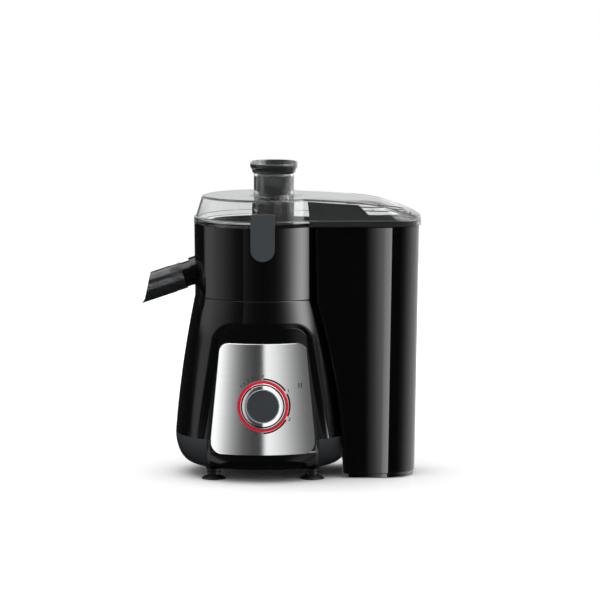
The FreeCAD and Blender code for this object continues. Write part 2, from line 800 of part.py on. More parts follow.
def make_brush_springs():
    """Folded leaf springs that push the brushes inwards."""
    start = commutator_r + brush_length + 0.1
    length = brush_channel_length - 0.2 - brush_length - spring_leaf
    half = brush_width / 2 - 0.4
    folds = [(start + length * i / spring_folds, half * (-1) ** i) for i in range(spring_folds + 1)]
    leaves = []
    for (x0, z0), (x1, z1) in zip(folds, folds[1:]):
        corners = [(x0, z0), (x0 + spring_leaf, z0), (x1 + spring_leaf, z1), (x1, z1)]
        points = [V(x, -half, commutator_mid_z + z) for x, z in corners]
        leaves.append(Part.Face(Part.makePolygon(points + points[:1])).extrude(V(0, 2 * half, 0)))
    spring = leaves[0].fuse(leaves[1:]).removeSplitter()
    return Part.makeCompound([spring, turned(spring, 180)])


def make_motor_dampers():
    """Rubber dampers between the upper bracket's arms and the deck's posts."""
    low = upper_plate_top_z
    dampers = []
    for angle in damper_angles:
        x, y = polar(damper_place_r, angle)
        body = ring(screw_r + 0.2, damper_r, low, low + damper_height, x, y)
        groove = ring(damper_r - 1.2, damper_r + 1, low + 3, low + damper_height - 3, x, y)
        dampers.append(body.cut(groove))
    return Part.makeCompound(dampers)


def make_mount_screws():
    """Screws that hang the motor from the deck, heads down."""
    screws = []
    for angle in damper_angles:
        x, y = polar(damper_place_r, angle)
        head = cylinder(screw_head_r, upper_plate_z - screw_head_height, upper_plate_z, x, y)
        shank = cylinder(screw_r, upper_plate_z, upper_plate_top_z + damper_height + 5, x, y)
        screws.append(head.fuse(shank))
    return Part.makeCompound(screws)


def make_shaft_seal():
    """Lip seal in the deck's boss."""
    low, high = seal_ledge_z, seal_ledge_z + seal_height
    return revolved_polygon([(shaft_r + 0.1, low + 2.5), (shaft_r + 1.2, low + 1.6), (shaft_r + 1.2, low),
                             (seal_r, low), (seal_r, high), (shaft_r + 2.0, high),
                             (shaft_r + 0.1, high - 2.0)])


def make_motor_shaft():
    """Shaft from the lower bearing up to the drive coupling."""
    return cylinder(shaft_r, shaft_bottom_z, coupling_z + coupling_height - 2)


def slot_bars(width, inner, outer, low, high):
    """One radial bar in each rotor slot."""
    bar = block(inner, outer, -width / 2, width / 2, low, high)
    return around(bar, [360 / rotor_slots * i for i in range(rotor_slots)])


def make_rotor_core():
    """Laminated armature with open slots."""
    core = ring(shaft_r + fixed_fit, rotor_core_r, stack_bottom_z + 2, stack_top_z - 2)
    return core.cut(slot_bars(3.2, rotor_core_r * 0.58, rotor_core_r + 2, stack_bottom_z, stack_top_z))


def make_rotor_windings():
    """Armature windings: bars in the slots and a ring of end turns above and below."""
    low, high = stack_bottom_z - 6, stack_top_z + 6
    bars = slot_bars(3.0, rotor_core_r * 0.58 + 0.2, rotor_core_r - 1.6, low + 2, high - 2)
    end_inner, end_outer = shaft_r + 2.5, rotor_core_r - 2.5
    lower_end = ring(end_inner, end_outer, low, stack_bottom_z + 1.9)
    upper_end = ring(end_inner, end_outer, stack_top_z - 1.9, high)
    return lower_end.fuse([upper_end] + bars).removeSplitter()


def make_commutator():
    """Copper commutator with its segment slots and riser flange."""
    top = commutator_z + commutator_height
    body = ring(shaft_r + fixed_fit, commutator_r, commutator_z, top)
    riser = ring(shaft_r + fixed_fit, commutator_r + 1.6, top, top + 2)
    slot = block(commutator_r - 1.4, commutator_r + 3, -0.3, 0.3, commutator_z - 1, top + 3)
    return body.fuse(riser).cut(around(slot, [15 * i for i in range(24)])).removeSplitter()


def make_cooling_fan():
    """Radial fan on the shaft above the stator."""
    hub = ring(shaft_r + fixed_fit, shaft_r + 5, fan_z, fan_z + fan_height)
    disc = ring(shaft_r + 4, fan_r, fan_z + fan_height - 1.6, fan_z + fan_height)
    blade = block(shaft_r + 4, fan_r - 1, -0.8, 0.8, fan_z, fan_z + fan_height - 1)
    blade.rotate(V(fan_r / 2, 0, 0), UP, 18)
    blades = around(blade, [360 / fan_blades * i for i in range(fan_blades)])
    fan = hub.fuse([disc] + blades).cut(cylinder(shaft_r + fixed_fit, fan_z - 1, fan_z + fan_height + 1))
    return fan.common(cylinder(fan_r, fan_z, fan_z + fan_height)).removeSplitter()


# ---------------------------------------------------------------- drive and basket
def make_drive_coupling():
    """Splined coupling on top of the motor shaft."""
    top = coupling_z + coupling_height
    core = cylinder(coupling_r - 2.2, coupling_z, top)
    dog = block(0, coupling_r, -1.6, 1.6, coupling_z, top - 1)
    dogs = around(dog, [360 / coupling_dogs * i for i in range(coupling_dogs)])
    return core.fuse(dogs).common(cylinder(coupling_r, coupling_z, top)).cut(
        cylinder(shaft_r + fixed_fit, coupling_z - 1, top - 1.9)).removeSplitter()


def make_basket_hub():
    """Plastic hub and floor of the basket, with a socket over the coupling."""
    floor_z = grating_z - 2.0
    socket_r = coupling_r + loose_gap
    rim_r = mesh_bottom_r + 2.4
    return revolved_polygon([
        (0, hub_top_z), (socket_r, hub_top_z), (socket_r, coupling_z + 2), (hub_r, coupling_z + 2),
        (hub_r, floor_z), (rim_r, floor_z), (rim_r, mesh_bottom_z + 1.0),
        (mesh_bottom_r + 1.4, mesh_bottom_z + 1.0),
        (mesh_bottom_r + 1.4, mesh_bottom_z - 0.1), (grating_r + 0.2, mesh_bottom_z - 0.1),
        (grating_r + 0.2, grating_z), (0, grating_z)])


def make_grating_disc():
    """Steel grating disc with rings of small upright teeth."""
    top = grating_z + grating_thickness
    disc = cylinder(grating_r, grating_z, top)
    teeth = []
    for place_r, count in ((14, 8), (21, 12), (28, 16), (35, 20), (42, 24)):
        tooth = Part.makeWedge(0, 0, 0, 0.35, 0.9, 2.4, tooth_height + 0.2, 1.2, 0.85, 2.0)
        tooth.rotate(V(0, 0, 0), V(1, 0, 0), 90)
        tooth.translate(V(place_r, 0.6, top - 0.2))
        teeth += around(tooth, [360 / count * i for i in range(count)])
    return disc.fuse(teeth)


def make_filter_mesh():
    """Conical sieve of the basket."""
    t = mesh_thickness
    return revolved_polygon([(mesh_bottom_r, mesh_bottom_z), (mesh_bottom_r + t, mesh_bottom_z),
                             (mesh_top_r + t, mesh_top_z), (mesh_top_r, mesh_top_z)])


def make_basket_rim():
    """Plastic ring around the top of the sieve."""
    inner = mesh_top_r - 1.6
    grip = mesh_top_r + mesh_thickness + 0.1
    lean = (mesh_top_r - mesh_bottom_r) / (mesh_top_z - mesh_bottom_z)
    skirt = 4.0
    low_z, low_r = mesh_top_z - skirt, grip - skirt * lean
    return revolved_polygon([(inner, mesh_top_z), (grip, mesh_top_z), (low_r, low_z),
                             (low_r + 1.6, low_z), (basket_rim_r, mesh_top_z - 0.5),
                             (basket_rim_r, basket_rim_top_z - 1.5), (basket_rim_r - 1.5, basket_rim_top_z),
                             (inner, basket_rim_top_z)])


# ---------------------------------------------------------------- bowl, nozzle and spout
def on_nozzle(shape):
    """Place a shape modelled about +Z on the juice nozzle's axis, +X becoming the upper side."""
    lean = FreeCAD.Rotation(V(0, 1, 0), -90 - spout_tilt)
    shape.Placement = FreeCAD.Placement(V(nozzle_x, 0, nozzle_z), lean)
    return shape


def nozzle_tube(radius, start, end):
    """Cylinder along the nozzle's axis between two distances from its root."""
    return on_nozzle(Part.makeCylinder(radius, end - start, V(0, 0, start)))


def under_hood_top(inset):
    """Everything under the lid's sloping top, lowered by an inset, seen from the front."""
    fall = (lid_top_z - hood_end_top_z) / (hood_end_x - hood_slope_start_x)
    end_z = lid_top_z - inset - (lid_band_end_x - hood_slope_start_x) * fall
    return front_prism([(-lid_band_r, 0, 0), (lid_band_end_x, 0, 0), (lid_band_end_x, end_z, 0),
                        (hood_slope_start_x, lid_top_z - inset, 0), (-lid_band_r, lid_top_z - inset, 0)],
                       -lid_band_r, lid_band_r)


def hood_corners(inset, z):
    """Plan of the hood over the pulp container at a level, shrunk by an inset."""
    rise = z - lid_shoulder_z
    return plan_corners(0, hood_low_end_x - inset - rise * hood_end_slope,
                        hood_low_half_depth - inset - rise * hood_side_slope,
                        hood_corner_r - inset - rise * hood_side_slope)


def hood_form(inset, low, high):
    """Hood over the pulp container between two levels, solid, with leaning sides."""
    return plan_loft(hood_corners(inset, low), low, hood_corners(inset, high), high)


def make_pulp_deflector():
    """Curved wall that stands on the bowl's rim inside the hood and turns the pulp downwards."""
    inset = lid_wall + deflector_gap
    low = bowl_top_z + 0.4
    top_z = lid_top_z - inset

    def column(shrink):
        straight = plan_prism(hood_corners(shrink, lid_shoulder_z), low, lid_shoulder_z)
        return straight.fuse(hood_form(shrink, lid_shoulder_z, lid_top_z + 5))

    hoop = column(inset).cut(column(inset + deflector_wall))
    lean_x = deflector_left_x + deflector_left_lean
    keep = front_prism([(deflector_left_x, low, 0), (lid_band_end_x, low, 0), (lid_band_end_x, lid_top_z, 0),
                        (lean_x, lid_top_z, 0)], deflector_inner_y, cut_reach)
    wall_piece = hoop.common(keep).common(under_hood_top(inset))
    y_out = hood_low_half_depth - inset
    foot = block(deflector_left_x, deflector_left_x + 3, y_out - deflector_wall, y_out, bowl_top_z, low + 2)
    return wall_piece.fuse(foot).removeSplitter()


def make_pulp_sill():
    """Ledge outside the bowl under its pulp window, over the edge of the container."""
    low = window_sill_z - sill_thickness
    top_r = bowl_outer_radius(window_sill_z) + fixed_fit
    return pulp_window(0, sill_reach_r, low, window_sill_z).cut(cylinder(top_r, low - 1, window_sill_z + 1))


def bowl_outer_radius(z):
    """Outer radius of the bowl at a level."""
    low = housing_top_z + bowl_seam
    return bowl_bottom_r + (bowl_top_r - bowl_bottom_r) * (z - low) / (bowl_top_z - low)


def make_juice_bowl():
    """Gloss bowl with its chimney, nozzle, pulp window and latch knuckles."""
    low = housing_top_z + bowl_seam
    floor_top = bowl_floor_z + bowl_floor
    skirt_r = spigot_r + 0.4
    chimney_outer_r = chimney_r + chimney_wall
    bowl = revolved_polygon([
        (chimney_r, bowl_floor_z), (skirt_r, bowl_floor_z), (skirt_r, low), (bowl_bottom_r, low),
        (bowl_top_r, bowl_top_z), (bowl_top_r - bowl_wall, bowl_top_z),
        (bowl_bottom_r - bowl_wall, floor_top), (chimney_outer_r, floor_top),
        (chimney_outer_r, chimney_top_z), (chimney_r, chimney_top_z)])
    window = pulp_window(0, bowl_top_r + 5, window_sill_z, bowl_top_z + 1)
    inside = cylinder(bowl_bottom_r - bowl_wall, floor_top, bowl_top_z)
    collar = nozzle_tube(nozzle_collar_r, nozzle_root, nozzle_collar_length)
    nozzle = nozzle_tube(nozzle_r, nozzle_root, nozzle_length).fuse(collar).cut(inside)
    groove = nozzle_tube(nozzle_r + 1, oring_place - 1.0, oring_place + 1.0).cut(
        nozzle_tube(nozzle_r - oring_groove_depth, oring_place - 2, oring_place + 2))
    knuckles = [latch_knuckle(side) for side in (-1, 1)]
    bowl = bowl.cut(window).fuse([nozzle] + knuckles)
    pin_holes = [pin_cylinder(side, latch_pin_r + fixed_fit, 60) for side in (-1, 1)]
    return bowl.cut([nozzle_tube(nozzle_bore_r, -14, nozzle_length + 1), groove] + pin_holes).removeSplitter()


def pulp_window(grow, reach, low, high):
    """Right-hand part of a disc between two levels, as wide as the pulp window grown by an amount."""
    half = window_half_depth + grow
    return cylinder(reach, low, high).common(block(bowl_top_r / 2, reach, -half, half, low, high))


def make_nozzle_oring():
    """Rubber ring in the nozzle's groove."""
    centre_r = nozzle_r - oring_groove_depth + oring_wire_r + fixed_fit
    corners = [polar(oring_wire_r, 22.5 + 45 * i) for i in range(8)]
    return on_nozzle(revolved_polygon([(centre_r + r, oring_place + z) for r, z in corners]))


def make_spout():
    """Turning spout: a sleeve over the nozzle with a slanted mouth and grip ribs."""
    tube = Part.makeCylinder(spout_r, spout_tip_length - spout_start, V(0, 0, spout_start))
    grooves = [spout_start + grip_pitch * (i + 1) for i in range(grip_grooves)]
    tube = tube.cut([revolved_polygon([(spout_r - 0.5, z), (spout_r + 1, z - 1.2), (spout_r + 1, z + 1.2)])
                     for z in grooves])
    seat = Part.makeCylinder(nozzle_r + loose_gap, nozzle_length + loose_gap, V(0, 0, 0))
    bore = Part.makeCylinder(spout_bore_r, 100, V(0, 0, 0))
    reach = 40.0
    slope = (spout_tip_length - spout_top_length) / (2 * spout_r)
    mouth = Part.Face(Part.makePolygon([
        V(reach, -reach, spout_top_length - (reach - spout_r) * slope),
        V(reach, -reach, 140), V(-reach, -reach, 140),
        V(-reach, -reach, spout_tip_length + (reach - spout_r) * slope),
        V(reach, -reach, spout_top_length - (reach - spout_r) * slope)])).extrude(V(0, 2 * reach, 0))
    return on_nozzle(tube.cut([seat, bore, mouth]).removeSplitter())


# ---------------------------------------------------------------- lid and pusher
def lid_form(inset):
    """Lid without its chute, solid, shrunk by an inset on its sides and top."""
    top_z = lid_top_z - inset
    band_high = lid_shoulder_z - inset
    band = cylinder(lid_band_r - inset, lid_bottom_z, band_high)
    band = band.fuse(plan_prism(plan_corners(0, lid_band_end_x - inset, lid_band_half_depth - inset,
                                             lid_band_corner_r - inset), lid_bottom_z, band_high))
    dome_low_r = lid_band_r - lid_shoulder - inset
    dome = Part.makeCone(dome_low_r, dome_top_r - inset, top_z - band_high, V(0, 0, band_high))
    return band.fuse([dome, hood_form(inset, band_high, top_z)]).common(under_hood_top(inset))


def make_lid():
    """Clear lid: round dome over the basket, hood over the container, feed chute and finger grip."""
    shell = lid_form(0).cut(lid_form(lid_wall))
    skirt_r = bowl_top_r - bowl_wall - 0.4
    skirt = ring(skirt_r - lid_skirt_wall, skirt_r + 1.2, lid_bottom_z, lid_bottom_z + 3)
    skirt_low_z = lid_bottom_z - lid_skirt_depth
    skirt = skirt.fuse(ring(skirt_r - lid_skirt_wall, skirt_r, skirt_low_z, lid_bottom_z + 1))
    skirt = skirt.common(block(-cut_reach, lid_skirt_end_x, -cut_reach, cut_reach, 0, cut_reach))
    chute = obround(chute_width, chute_depth, chute_bottom_z, chute_top_z)
    bore = obround(chute_width - 2 * chute_wall, chute_depth - 2 * chute_wall,
                   chute_bottom_z - 5, chute_top_z + 5)
    grip_x = lid_band_end_x - 14
    grip = block(grip_x, lid_band_end_x - 0.5, -lid_grip_half_width, lid_grip_half_width,
                 lid_shoulder_z - 2, lid_shoulder_z + 3).cut(lid_form(lid_wall))
    return shell.fuse([skirt, chute, grip]).cut(bore).removeSplitter()


def make_pusher():
    """Hollow food pusher with a flared rim that rests on the chute."""
    width = chute_width - 2 * (chute_wall + pusher_gap)
    depth = chute_depth - 2 * (chute_wall + pusher_gap)
    body = obround(width, depth, pusher_bottom_z, chute_top_z + 1)
    extra = chute_depth - chute_width

    def rim_wire(rim_width, z):
        face = obround(rim_width, rim_width + extra, z, z + 1).Faces
        return [f for f in face if abs(f.CenterOfMass.z - z) < 1e-6][0].OuterWire

    def flare(low_width, high_width):
        wires = [rim_wire(low_width, chute_top_z), rim_wire(high_width, pusher_top_z)]
        return Part.makeLoft(wires, True, True)

    rim = flare(pusher_rim_low_width, pusher_rim_top_width)
    hollow = flare(pusher_rim_low_width - 2 * pusher_wall, pusher_rim_top_width - 2 * pusher_wall)
    hollow = hollow.common(slab(chute_top_z + 2, pusher_top_z + 1))
    bore = obround(width - 2 * pusher_wall, depth - 2 * pusher_wall,
                   pusher_bottom_z + pusher_wall, pusher_top_z)
    return body.fuse(rim).cut([hollow, bore]).removeSplitter()


# ---------------------------------------------------------------- latches
def pin_cylinder(side, radius, length):
    """Cylinder along a latch's pivot, on the front (-1) or the back (1)."""
    return Part.makeCylinder(radius, length, V(-length / 2, side * latch_pivot_y, latch_pivot_z), V(1, 0, 0))


def latch_knuckle(side):
    """Eye of the bowl that carries a latch's pin."""
    eye = Part.makeCylinder(knuckle_r, 2 * knuckle_half_width,
                            V(-knuckle_half_width, side * latch_pivot_y, latch_pivot_z), V(1, 0, 0))
    y0, y1 = sorted((side * (bowl_bottom_r - 1.0), side * latch_pivot_y))
    stem = block(-knuckle_half_width, knuckle_half_width, y0, y1,
                 latch_pivot_z - knuckle_stem, latch_pivot_z + knuckle_stem)
    return eye.fuse(stem).cut(cylinder(bowl_bottom_r - bowl_wall / 2, 0, cut_reach))


def make_latch(side):
    """Flat latch with a round lower end, pocketed over its knuckle, and a sloped hook over the lid's band."""
    half = latch_width / 2
    outer_y = latch_inner_y + latch_thickness
    y0, y1 = sorted((side * latch_inner_y, side * outer_y))
    plate = front_prism([(-half, latch_bottom_z, half - 0.01), (half, latch_bottom_z, half - 0.01),
                         (half, latch_top_z, 3.0), (-half, latch_top_z, 3.0)], y0, y1)
    rise = math.tan(math.radians(hook_slope)) * (latch_inner_y - hook_reach_y)
    under_z = lid_shoulder_z + 0.4
    hook_points = [(latch_inner_y + 1, under_z), (latch_inner_y, under_z), (hook_reach_y, under_z + rise),
                   (hook_reach_y, under_z + rise + 1.0), (latch_inner_y, under_z + hook_height),
                   (latch_inner_y + 1, under_z + hook_height)]
    hook = side_prism([(side * y, z) for y, z in hook_points], -hook_half_width, hook_half_width)
    pocket_half = knuckle_half_width + loose_gap
    pocket_r = knuckle_r + loose_gap
    pocket = Part.makeCylinder(pocket_r, 2 * pocket_half,
                               V(-pocket_half, side * latch_pivot_y, latch_pivot_z), V(1, 0, 0))
    reach = knuckle_stem + loose_gap
    y2, y3 = sorted((side * (latch_inner_y - 2), side * (latch_pivot_y + reach)))
    swing = block(-pocket_half, pocket_half, y2, y3, latch_bottom_z - 2, latch_pivot_z + reach)
    low_y = sorted((side * (latch_inner_y - 1), side * (latch_inner_y + 1.4)))
    edge_relief = block(-half, half, low_y[0], low_y[1], latch_bottom_z - 1, latch_bottom_z + 1.6)
    pin_hole = pin_cylinder(side, latch_pin_r + running_fit, latch_pin_length + 0.4)
    return plate.fuse(hook).cut([pocket, swing, edge_relief, pin_hole]).removeSplitter()


def make_latch_pins():
    """The two latch pins."""
    return Part.makeCompound([pin_cylinder(side, latch_pin_r, latch_pin_length) for side in (-1, 1)])


# ---------------------------------------------------------------- pulp container
def body_clearance(gap):
    """Space around the housing and the bowl, straight below the parting level."""
    low, high = -10.0, bowl_top_z + 40
    widest = V(parting_r + gap, 0, parting_z)
    middle = V(housing_mid_r + gap, 0, housing_mid_z)
    neck = V(housing_top_r + gap, 0, housing_top_z)
    rim = V(bowl_top_r + gap, 0, high)
    foot = V(parting_r + gap, 0, low)
    return revolved([Part.makeLine(V(0, 0, low), foot), Part.makeLine(foot, widest),
                     Part.Arc(widest, middle, neck).toShape(), Part.makeLine(neck, rim),
                     Part.makeLine(rim, V(0, 0, high)), Part.makeLine(V(0, 0, high), V(0, 0, low))])


def container_block(inset, low, high):
    """Tapered block of the container between two levels, shrunk by an inset."""
    def at(z):
        share = (z - container_floor_z) / (container_top_z - container_floor_z)
        half = container_bottom_half_depth + share * (container_top_half_depth - container_bottom_half_depth)
        end_x = container_bottom_x + share * (container_top_x - container_bottom_x)
        return plan_corners(30, end_x - inset, half - inset, container_corner_r - inset)
    return plan_loft(at(low), low, at(high), high)


def make_pulp_container():
    """Tall tapered bin, hollowed on its left to fit round the housing, with a low window for the pulp."""
    outer = container_block(0, container_floor_z, container_top_z).cut(body_clearance(container_gap))
    inner_low = container_floor_z + container_wall
    inner = container_block(container_wall, inner_low, container_top_z + 1).cut(
        body_clearance(container_gap + container_wall))
    skirt_in = 5.0
    skirt_out = skirt_in + 3.0
    foot = container_block(skirt_in, container_foot_z, container_floor_z + 1).cut(
        body_clearance(container_gap + skirt_in))
    foot = foot.cut(container_block(skirt_out, container_foot_z - 1, container_floor_z).cut(
        body_clearance(container_gap + skirt_out)))
    window_low = window_sill_z - sill_thickness - 1.0
    window = pulp_window(1.5, sill_reach_r + 4, window_low, container_top_z + 1)
    return outer.cut([inner, window]).fuse(foot).removeSplitter()


# ---------------------------------------------------------------- the whole machine
def build():
    """Every node of the machine by name, in the drive axis's frame."""
    nodes = {
        "housing": make_housing(),
        "base_tub": make_base_tub(),
        "tub_screws": make_tub_screws(),
        "cord_gland": make_cord_gland(),
        "control_panel": make_control_panel(),
        "dial_seat": make_dial_seat(),
        "dial_trim_ring": make_dial_trim_ring(),
        "dial_red_ring": make_dial_red_ring(),
        "switch_body": make_switch_body(),
        "switch_nut": make_switch_nut(),
        "knob_ring": make_knob_ring(),
        "knob_cap": make_knob_cap(),
        "switch_shaft": make_switch_shaft(),
        "control_board": make_control_board(),
        "motor_stator": make_motor_stator(),
        "field_coils": make_field_coils(),
        "lower_bracket": make_lower_bracket(),
        "upper_bracket": make_upper_bracket(),
        "lower_bearing": make_bearing(lower_bearing_z()),
        "upper_bearing": make_bearing(upper_bearing_z()),
        "motor_bolts": make_motor_bolts(),
        "brush_holders": make_brush_holders(),
        "carbon_brushes": make_carbon_brushes(),
        "brush_springs": make_brush_springs(),
        "motor_dampers": make_motor_dampers(),
        "mount_screws": make_mount_screws(),
        "shaft_seal": make_shaft_seal(),
        "motor_shaft": make_motor_shaft(),
        "rotor_core": make_rotor_core(),
        "rotor_windings": make_rotor_windings(),
        "commutator": make_commutator(),
        "cooling_fan": make_cooling_fan(),
        "drive_coupling": make_drive_coupling(),
        "basket_hub": make_basket_hub(),
        "grating_disc": make_grating_disc(),
        "filter_mesh": make_filter_mesh(),
        "basket_rim": make_basket_rim(),
        "juice_bowl": make_juice_bowl(),
        "pulp_sill": make_pulp_sill(),
        "pulp_deflector": make_pulp_deflector(),
        "nozzle_oring": make_nozzle_oring(),
        "spout": make_spout(),
        "lid": make_lid(),
        "pusher": make_pusher(),
        "front_latch": make_latch(-1),
        "rear_latch": make_latch(1),
        "latch_pins": make_latch_pins(),
        "pulp_container": make_pulp_container(),
    }
    for depth, sy in (("front", -1), ("rear", 1)):
        for hand, sx in (("left", -1), ("right", 1)):
            nodes[f"foot_{depth}_{hand}"] = make_foot(sx * foot_x, sy * foot_y)
    return nodes


def footprint_centre(nodes):
    """Centre of the whole machine's box in plan."""
    boxes = [shape.optimalBoundingBox(False, False) for shape in nodes.values()]
    x = (min(b.XMin for b in boxes) + max(b.XMax for b in boxes)) / 2
    y = (min(b.YMin for b in boxes) + max(b.YMax for b in boxes)) / 2
    return V(x, y, 0)


def main():
    nodes = build()
    centre = footprint_centre(nodes)
    os.makedirs("parts", exist_ok=True)
    for name, shape in nodes.items():
        shape.translate(centre * -1)
        shape.exportStep(f"parts/{name}.step")
        facts = f"solids {len(shape.Solids):2d}  volume {shape.Volume:10.1f}  valid {shape.isValid()}"
        print(f"{name:16s} {facts}")
    print(f"drive axis at x {-centre.x:.4f} y {-centre.y:.4f}")
    return nodes, centre


if __name__ == "__main__":
    main()
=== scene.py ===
import json
import math

import bmesh
import bpy
import numpy as np
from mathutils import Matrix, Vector

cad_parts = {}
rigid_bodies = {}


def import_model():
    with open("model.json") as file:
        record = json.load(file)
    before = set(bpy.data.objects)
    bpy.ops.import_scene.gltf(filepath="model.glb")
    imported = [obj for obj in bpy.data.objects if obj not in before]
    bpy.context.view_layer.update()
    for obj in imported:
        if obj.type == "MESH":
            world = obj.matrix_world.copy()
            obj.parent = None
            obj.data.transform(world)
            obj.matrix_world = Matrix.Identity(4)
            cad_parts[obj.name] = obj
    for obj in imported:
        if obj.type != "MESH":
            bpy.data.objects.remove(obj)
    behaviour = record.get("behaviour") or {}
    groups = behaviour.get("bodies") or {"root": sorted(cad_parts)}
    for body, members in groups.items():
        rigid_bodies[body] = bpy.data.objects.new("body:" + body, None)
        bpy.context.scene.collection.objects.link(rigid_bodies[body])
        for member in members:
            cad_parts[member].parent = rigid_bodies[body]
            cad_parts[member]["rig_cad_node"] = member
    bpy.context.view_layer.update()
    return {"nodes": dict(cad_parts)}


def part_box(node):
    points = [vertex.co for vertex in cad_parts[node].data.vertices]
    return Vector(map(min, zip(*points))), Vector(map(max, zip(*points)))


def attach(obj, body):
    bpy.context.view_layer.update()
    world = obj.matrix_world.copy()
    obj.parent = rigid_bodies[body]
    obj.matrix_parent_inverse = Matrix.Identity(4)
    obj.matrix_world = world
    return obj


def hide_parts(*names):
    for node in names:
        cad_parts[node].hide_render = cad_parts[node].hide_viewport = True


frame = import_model()

# Centrifugal juicer: finishes and moulded surfaces around the fixed frame.  Shapes are worked out in
# millimetres about the drive axis, with +X towards the pulp container and -Y towards the user.

bl_info = {
    "name": "Centrifugal Juicer",
    "version": (1, 0, 0),
    "blender": (4, 5, 0),
    "location": "3D View > Sidebar > Juicer",
    "description": "Builds the moulded surfaces, finishes and studio of a centrifugal juicer",
    "category": "Add Mesh",
}

MM = 0.001
AXIS = sum(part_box("motor_shaft"), Vector()) / 2
CREASE = 38.0
MERGE, DEGENERATE = 2e-6, 1e-6
TINY = 1e-9


# ---------------------------------------------------------------- settings
def length(name, description, default):
    """A size in millimetres for the sidebar."""
    return bpy.props.FloatProperty(
        name=name, description=description, default=default, min=0.0, unit="NONE", subtype="NONE")


def colour(name, description, default):
    """A colour for the sidebar."""
    return bpy.props.FloatVectorProperty(
        name=name, description=description, default=default, size=3, min=0.0, max=1.0, subtype="COLOR")


class JuicerSizes(bpy.types.PropertyGroup):
    housing_wall: length("Housing wall", "Thickness of the gloss housing, in millimetres", 2.8)
    bib_step: length("Bib edge", "Width of the soft step around the arched recess, in millimetres", 6.5)
    lid_wall: length("Lid wall", "Thickness of the clear lid, in millimetres", 2.2)
    lid_fillet: length("Lid edge", "Radius of the lid's upper edge, in millimetres", 2.4)
    chute_wall: length("Chute wall", "Thickness of the feed chute, in millimetres", 2.5)
    container_wall: length("Container wall", "Thickness of the pulp container, in millimetres", 2.2)
    container_corner: length("Container inner corner", "Radius beside the housing, in millimetres", 9.0)
    pusher_wall: length("Pusher wall", "Thickness of the pusher, in millimetres", 2.4)
    sieve_pitch: length("Sieve pitch", "Distance between the sieve's holes, in millimetres", 1.9)


class JuicerColours(bpy.types.PropertyGroup):
    gloss: colour("Gloss black", "Housing, bowl and container", (0.0012, 0.0013, 0.0015))
    charcoal: colour("Charcoal", "Base tub", (0.025, 0.027, 0.029))
    latch: colour("Latch grey", "Latches", (0.040, 0.046, 0.050))
    cap: colour("Dial cap", "Flat cap of the dial", (0.026, 0.034, 0.040))
    red: colour("Dial red", "Ring around the dial", (0.60, 0.010, 0.030))
    clear: colour("Clear plastic", "Lid", (0.845, 0.86, 0.86))
    steel: colour("Brushed steel", "Control panel", (0.86, 0.87, 0.87))


class JuicerStudio(bpy.types.PropertyGroup):
    view_height: bpy.props.FloatProperty(name="View height", description="Elevation of the camera",
                                         default=math.radians(6.7), subtype="ANGLE", unit="ROTATION")
    view_distance: bpy.props.FloatProperty(name="View distance", description="Distance of the camera",
                                           default=5.97, min=1.0, subtype="DISTANCE", unit="LENGTH")
    view_angle: bpy.props.FloatProperty(name="View angle", description="Angle that the camera takes in",
                                        default=math.radians(7.19), subtype="ANGLE", unit="ROTATION")
    backdrop: bpy.props.FloatProperty(name="Backdrop", description="Brightness of the backdrop",
                                      default=1.0, min=0.0)


# ---------------------------------------------------------------- surfaces
def cells(index):
    """The four corners of every cell of a grid of point numbers."""
    return np.stack([index[:-1, :-1], index[:-1, 1:], index[1:, 1:], index[1:, :-1]], -1).reshape(-1, 4)


def add_object(name, data):
    """A new object in the scene."""
    item = bpy.data.objects.new(name, data)
    bpy.context.scene.collection.objects.link(item)
    return item


def plain_mesh(name, points, faces, finish):
    """A mesh from points in metres."""
    mesh = bpy.data.meshes.new(name)
    mesh.from_pydata(points.tolist(), [], faces.tolist())
    mesh.materials.append(finish)
    return mesh


class Surface:
    """Grids of points, in millimetres about the drive axis, gathered into one closed mesh."""

    def __init__(self):
        self.points, self.faces, self.count = [], [], 0

    def grid(self, points, close_rows=False, close_columns=False):
        """Adds rows x columns points; each cell between neighbours is a face, and a closed way round
        joins its last row or column to the first."""
        points = np.asarray(points, float)
        rows, columns = points.shape[:2]
        index = np.arange(rows * columns).reshape(rows, columns) + self.count
        if close_rows:
            index = np.vstack([index, index[:1]])
        if close_columns:
            index = np.hstack([index, index[:, :1]])
        self.points.append(points.reshape(-1, 3))
        self.faces.append(cells(index))
        self.count += rows * columns
        return self

    def bar(self, body):
        """Adds closed outlines, one a column, with fans from the middle over both ends."""
        self.grid(body, close_rows=True)
        for end in (body[:, 0], body[:, -1]):
            self.grid(np.stack([end, np.broadcast_to(end.mean(0), end.shape)]), close_columns=True)

    def build(self, name, finish, body, stands_for=(), slot=None, crease=CREASE):
        """Makes the object: doubles merged, normals turned outwards, edges sharper than the crease kept."""
        points = np.concatenate(self.points) * MM + np.array([AXIS.x, AXIS.y, 0.0])
        mesh = plain_mesh(name, points, np.concatenate(self.faces), finish)
        work = bmesh.new()
        work.from_mesh(mesh)
        bmesh.ops.remove_doubles(work, verts=work.verts, dist=MERGE)
        bmesh.ops.dissolve_degenerate(work, edges=work.edges, dist=DEGENERATE)
        bmesh.ops.recalc_face_normals(work, faces=work.faces)
        work.to_mesh(mesh)
        work.free()
        mesh.shade_smooth()
        mesh.set_sharp_from_angle(angle=math.radians(crease))
        piece = add_object(name, mesh)
        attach(piece, body)
        if stands_for:
            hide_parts(*stands_for)


def blend_in(value):
    """Smooth step: 0 below 0, 1 above 1, 3v^2 - 2v^3 between."""
    v = np.clip(value, 0.0, 1.0)
    return v * v * (3 - 2 * v)


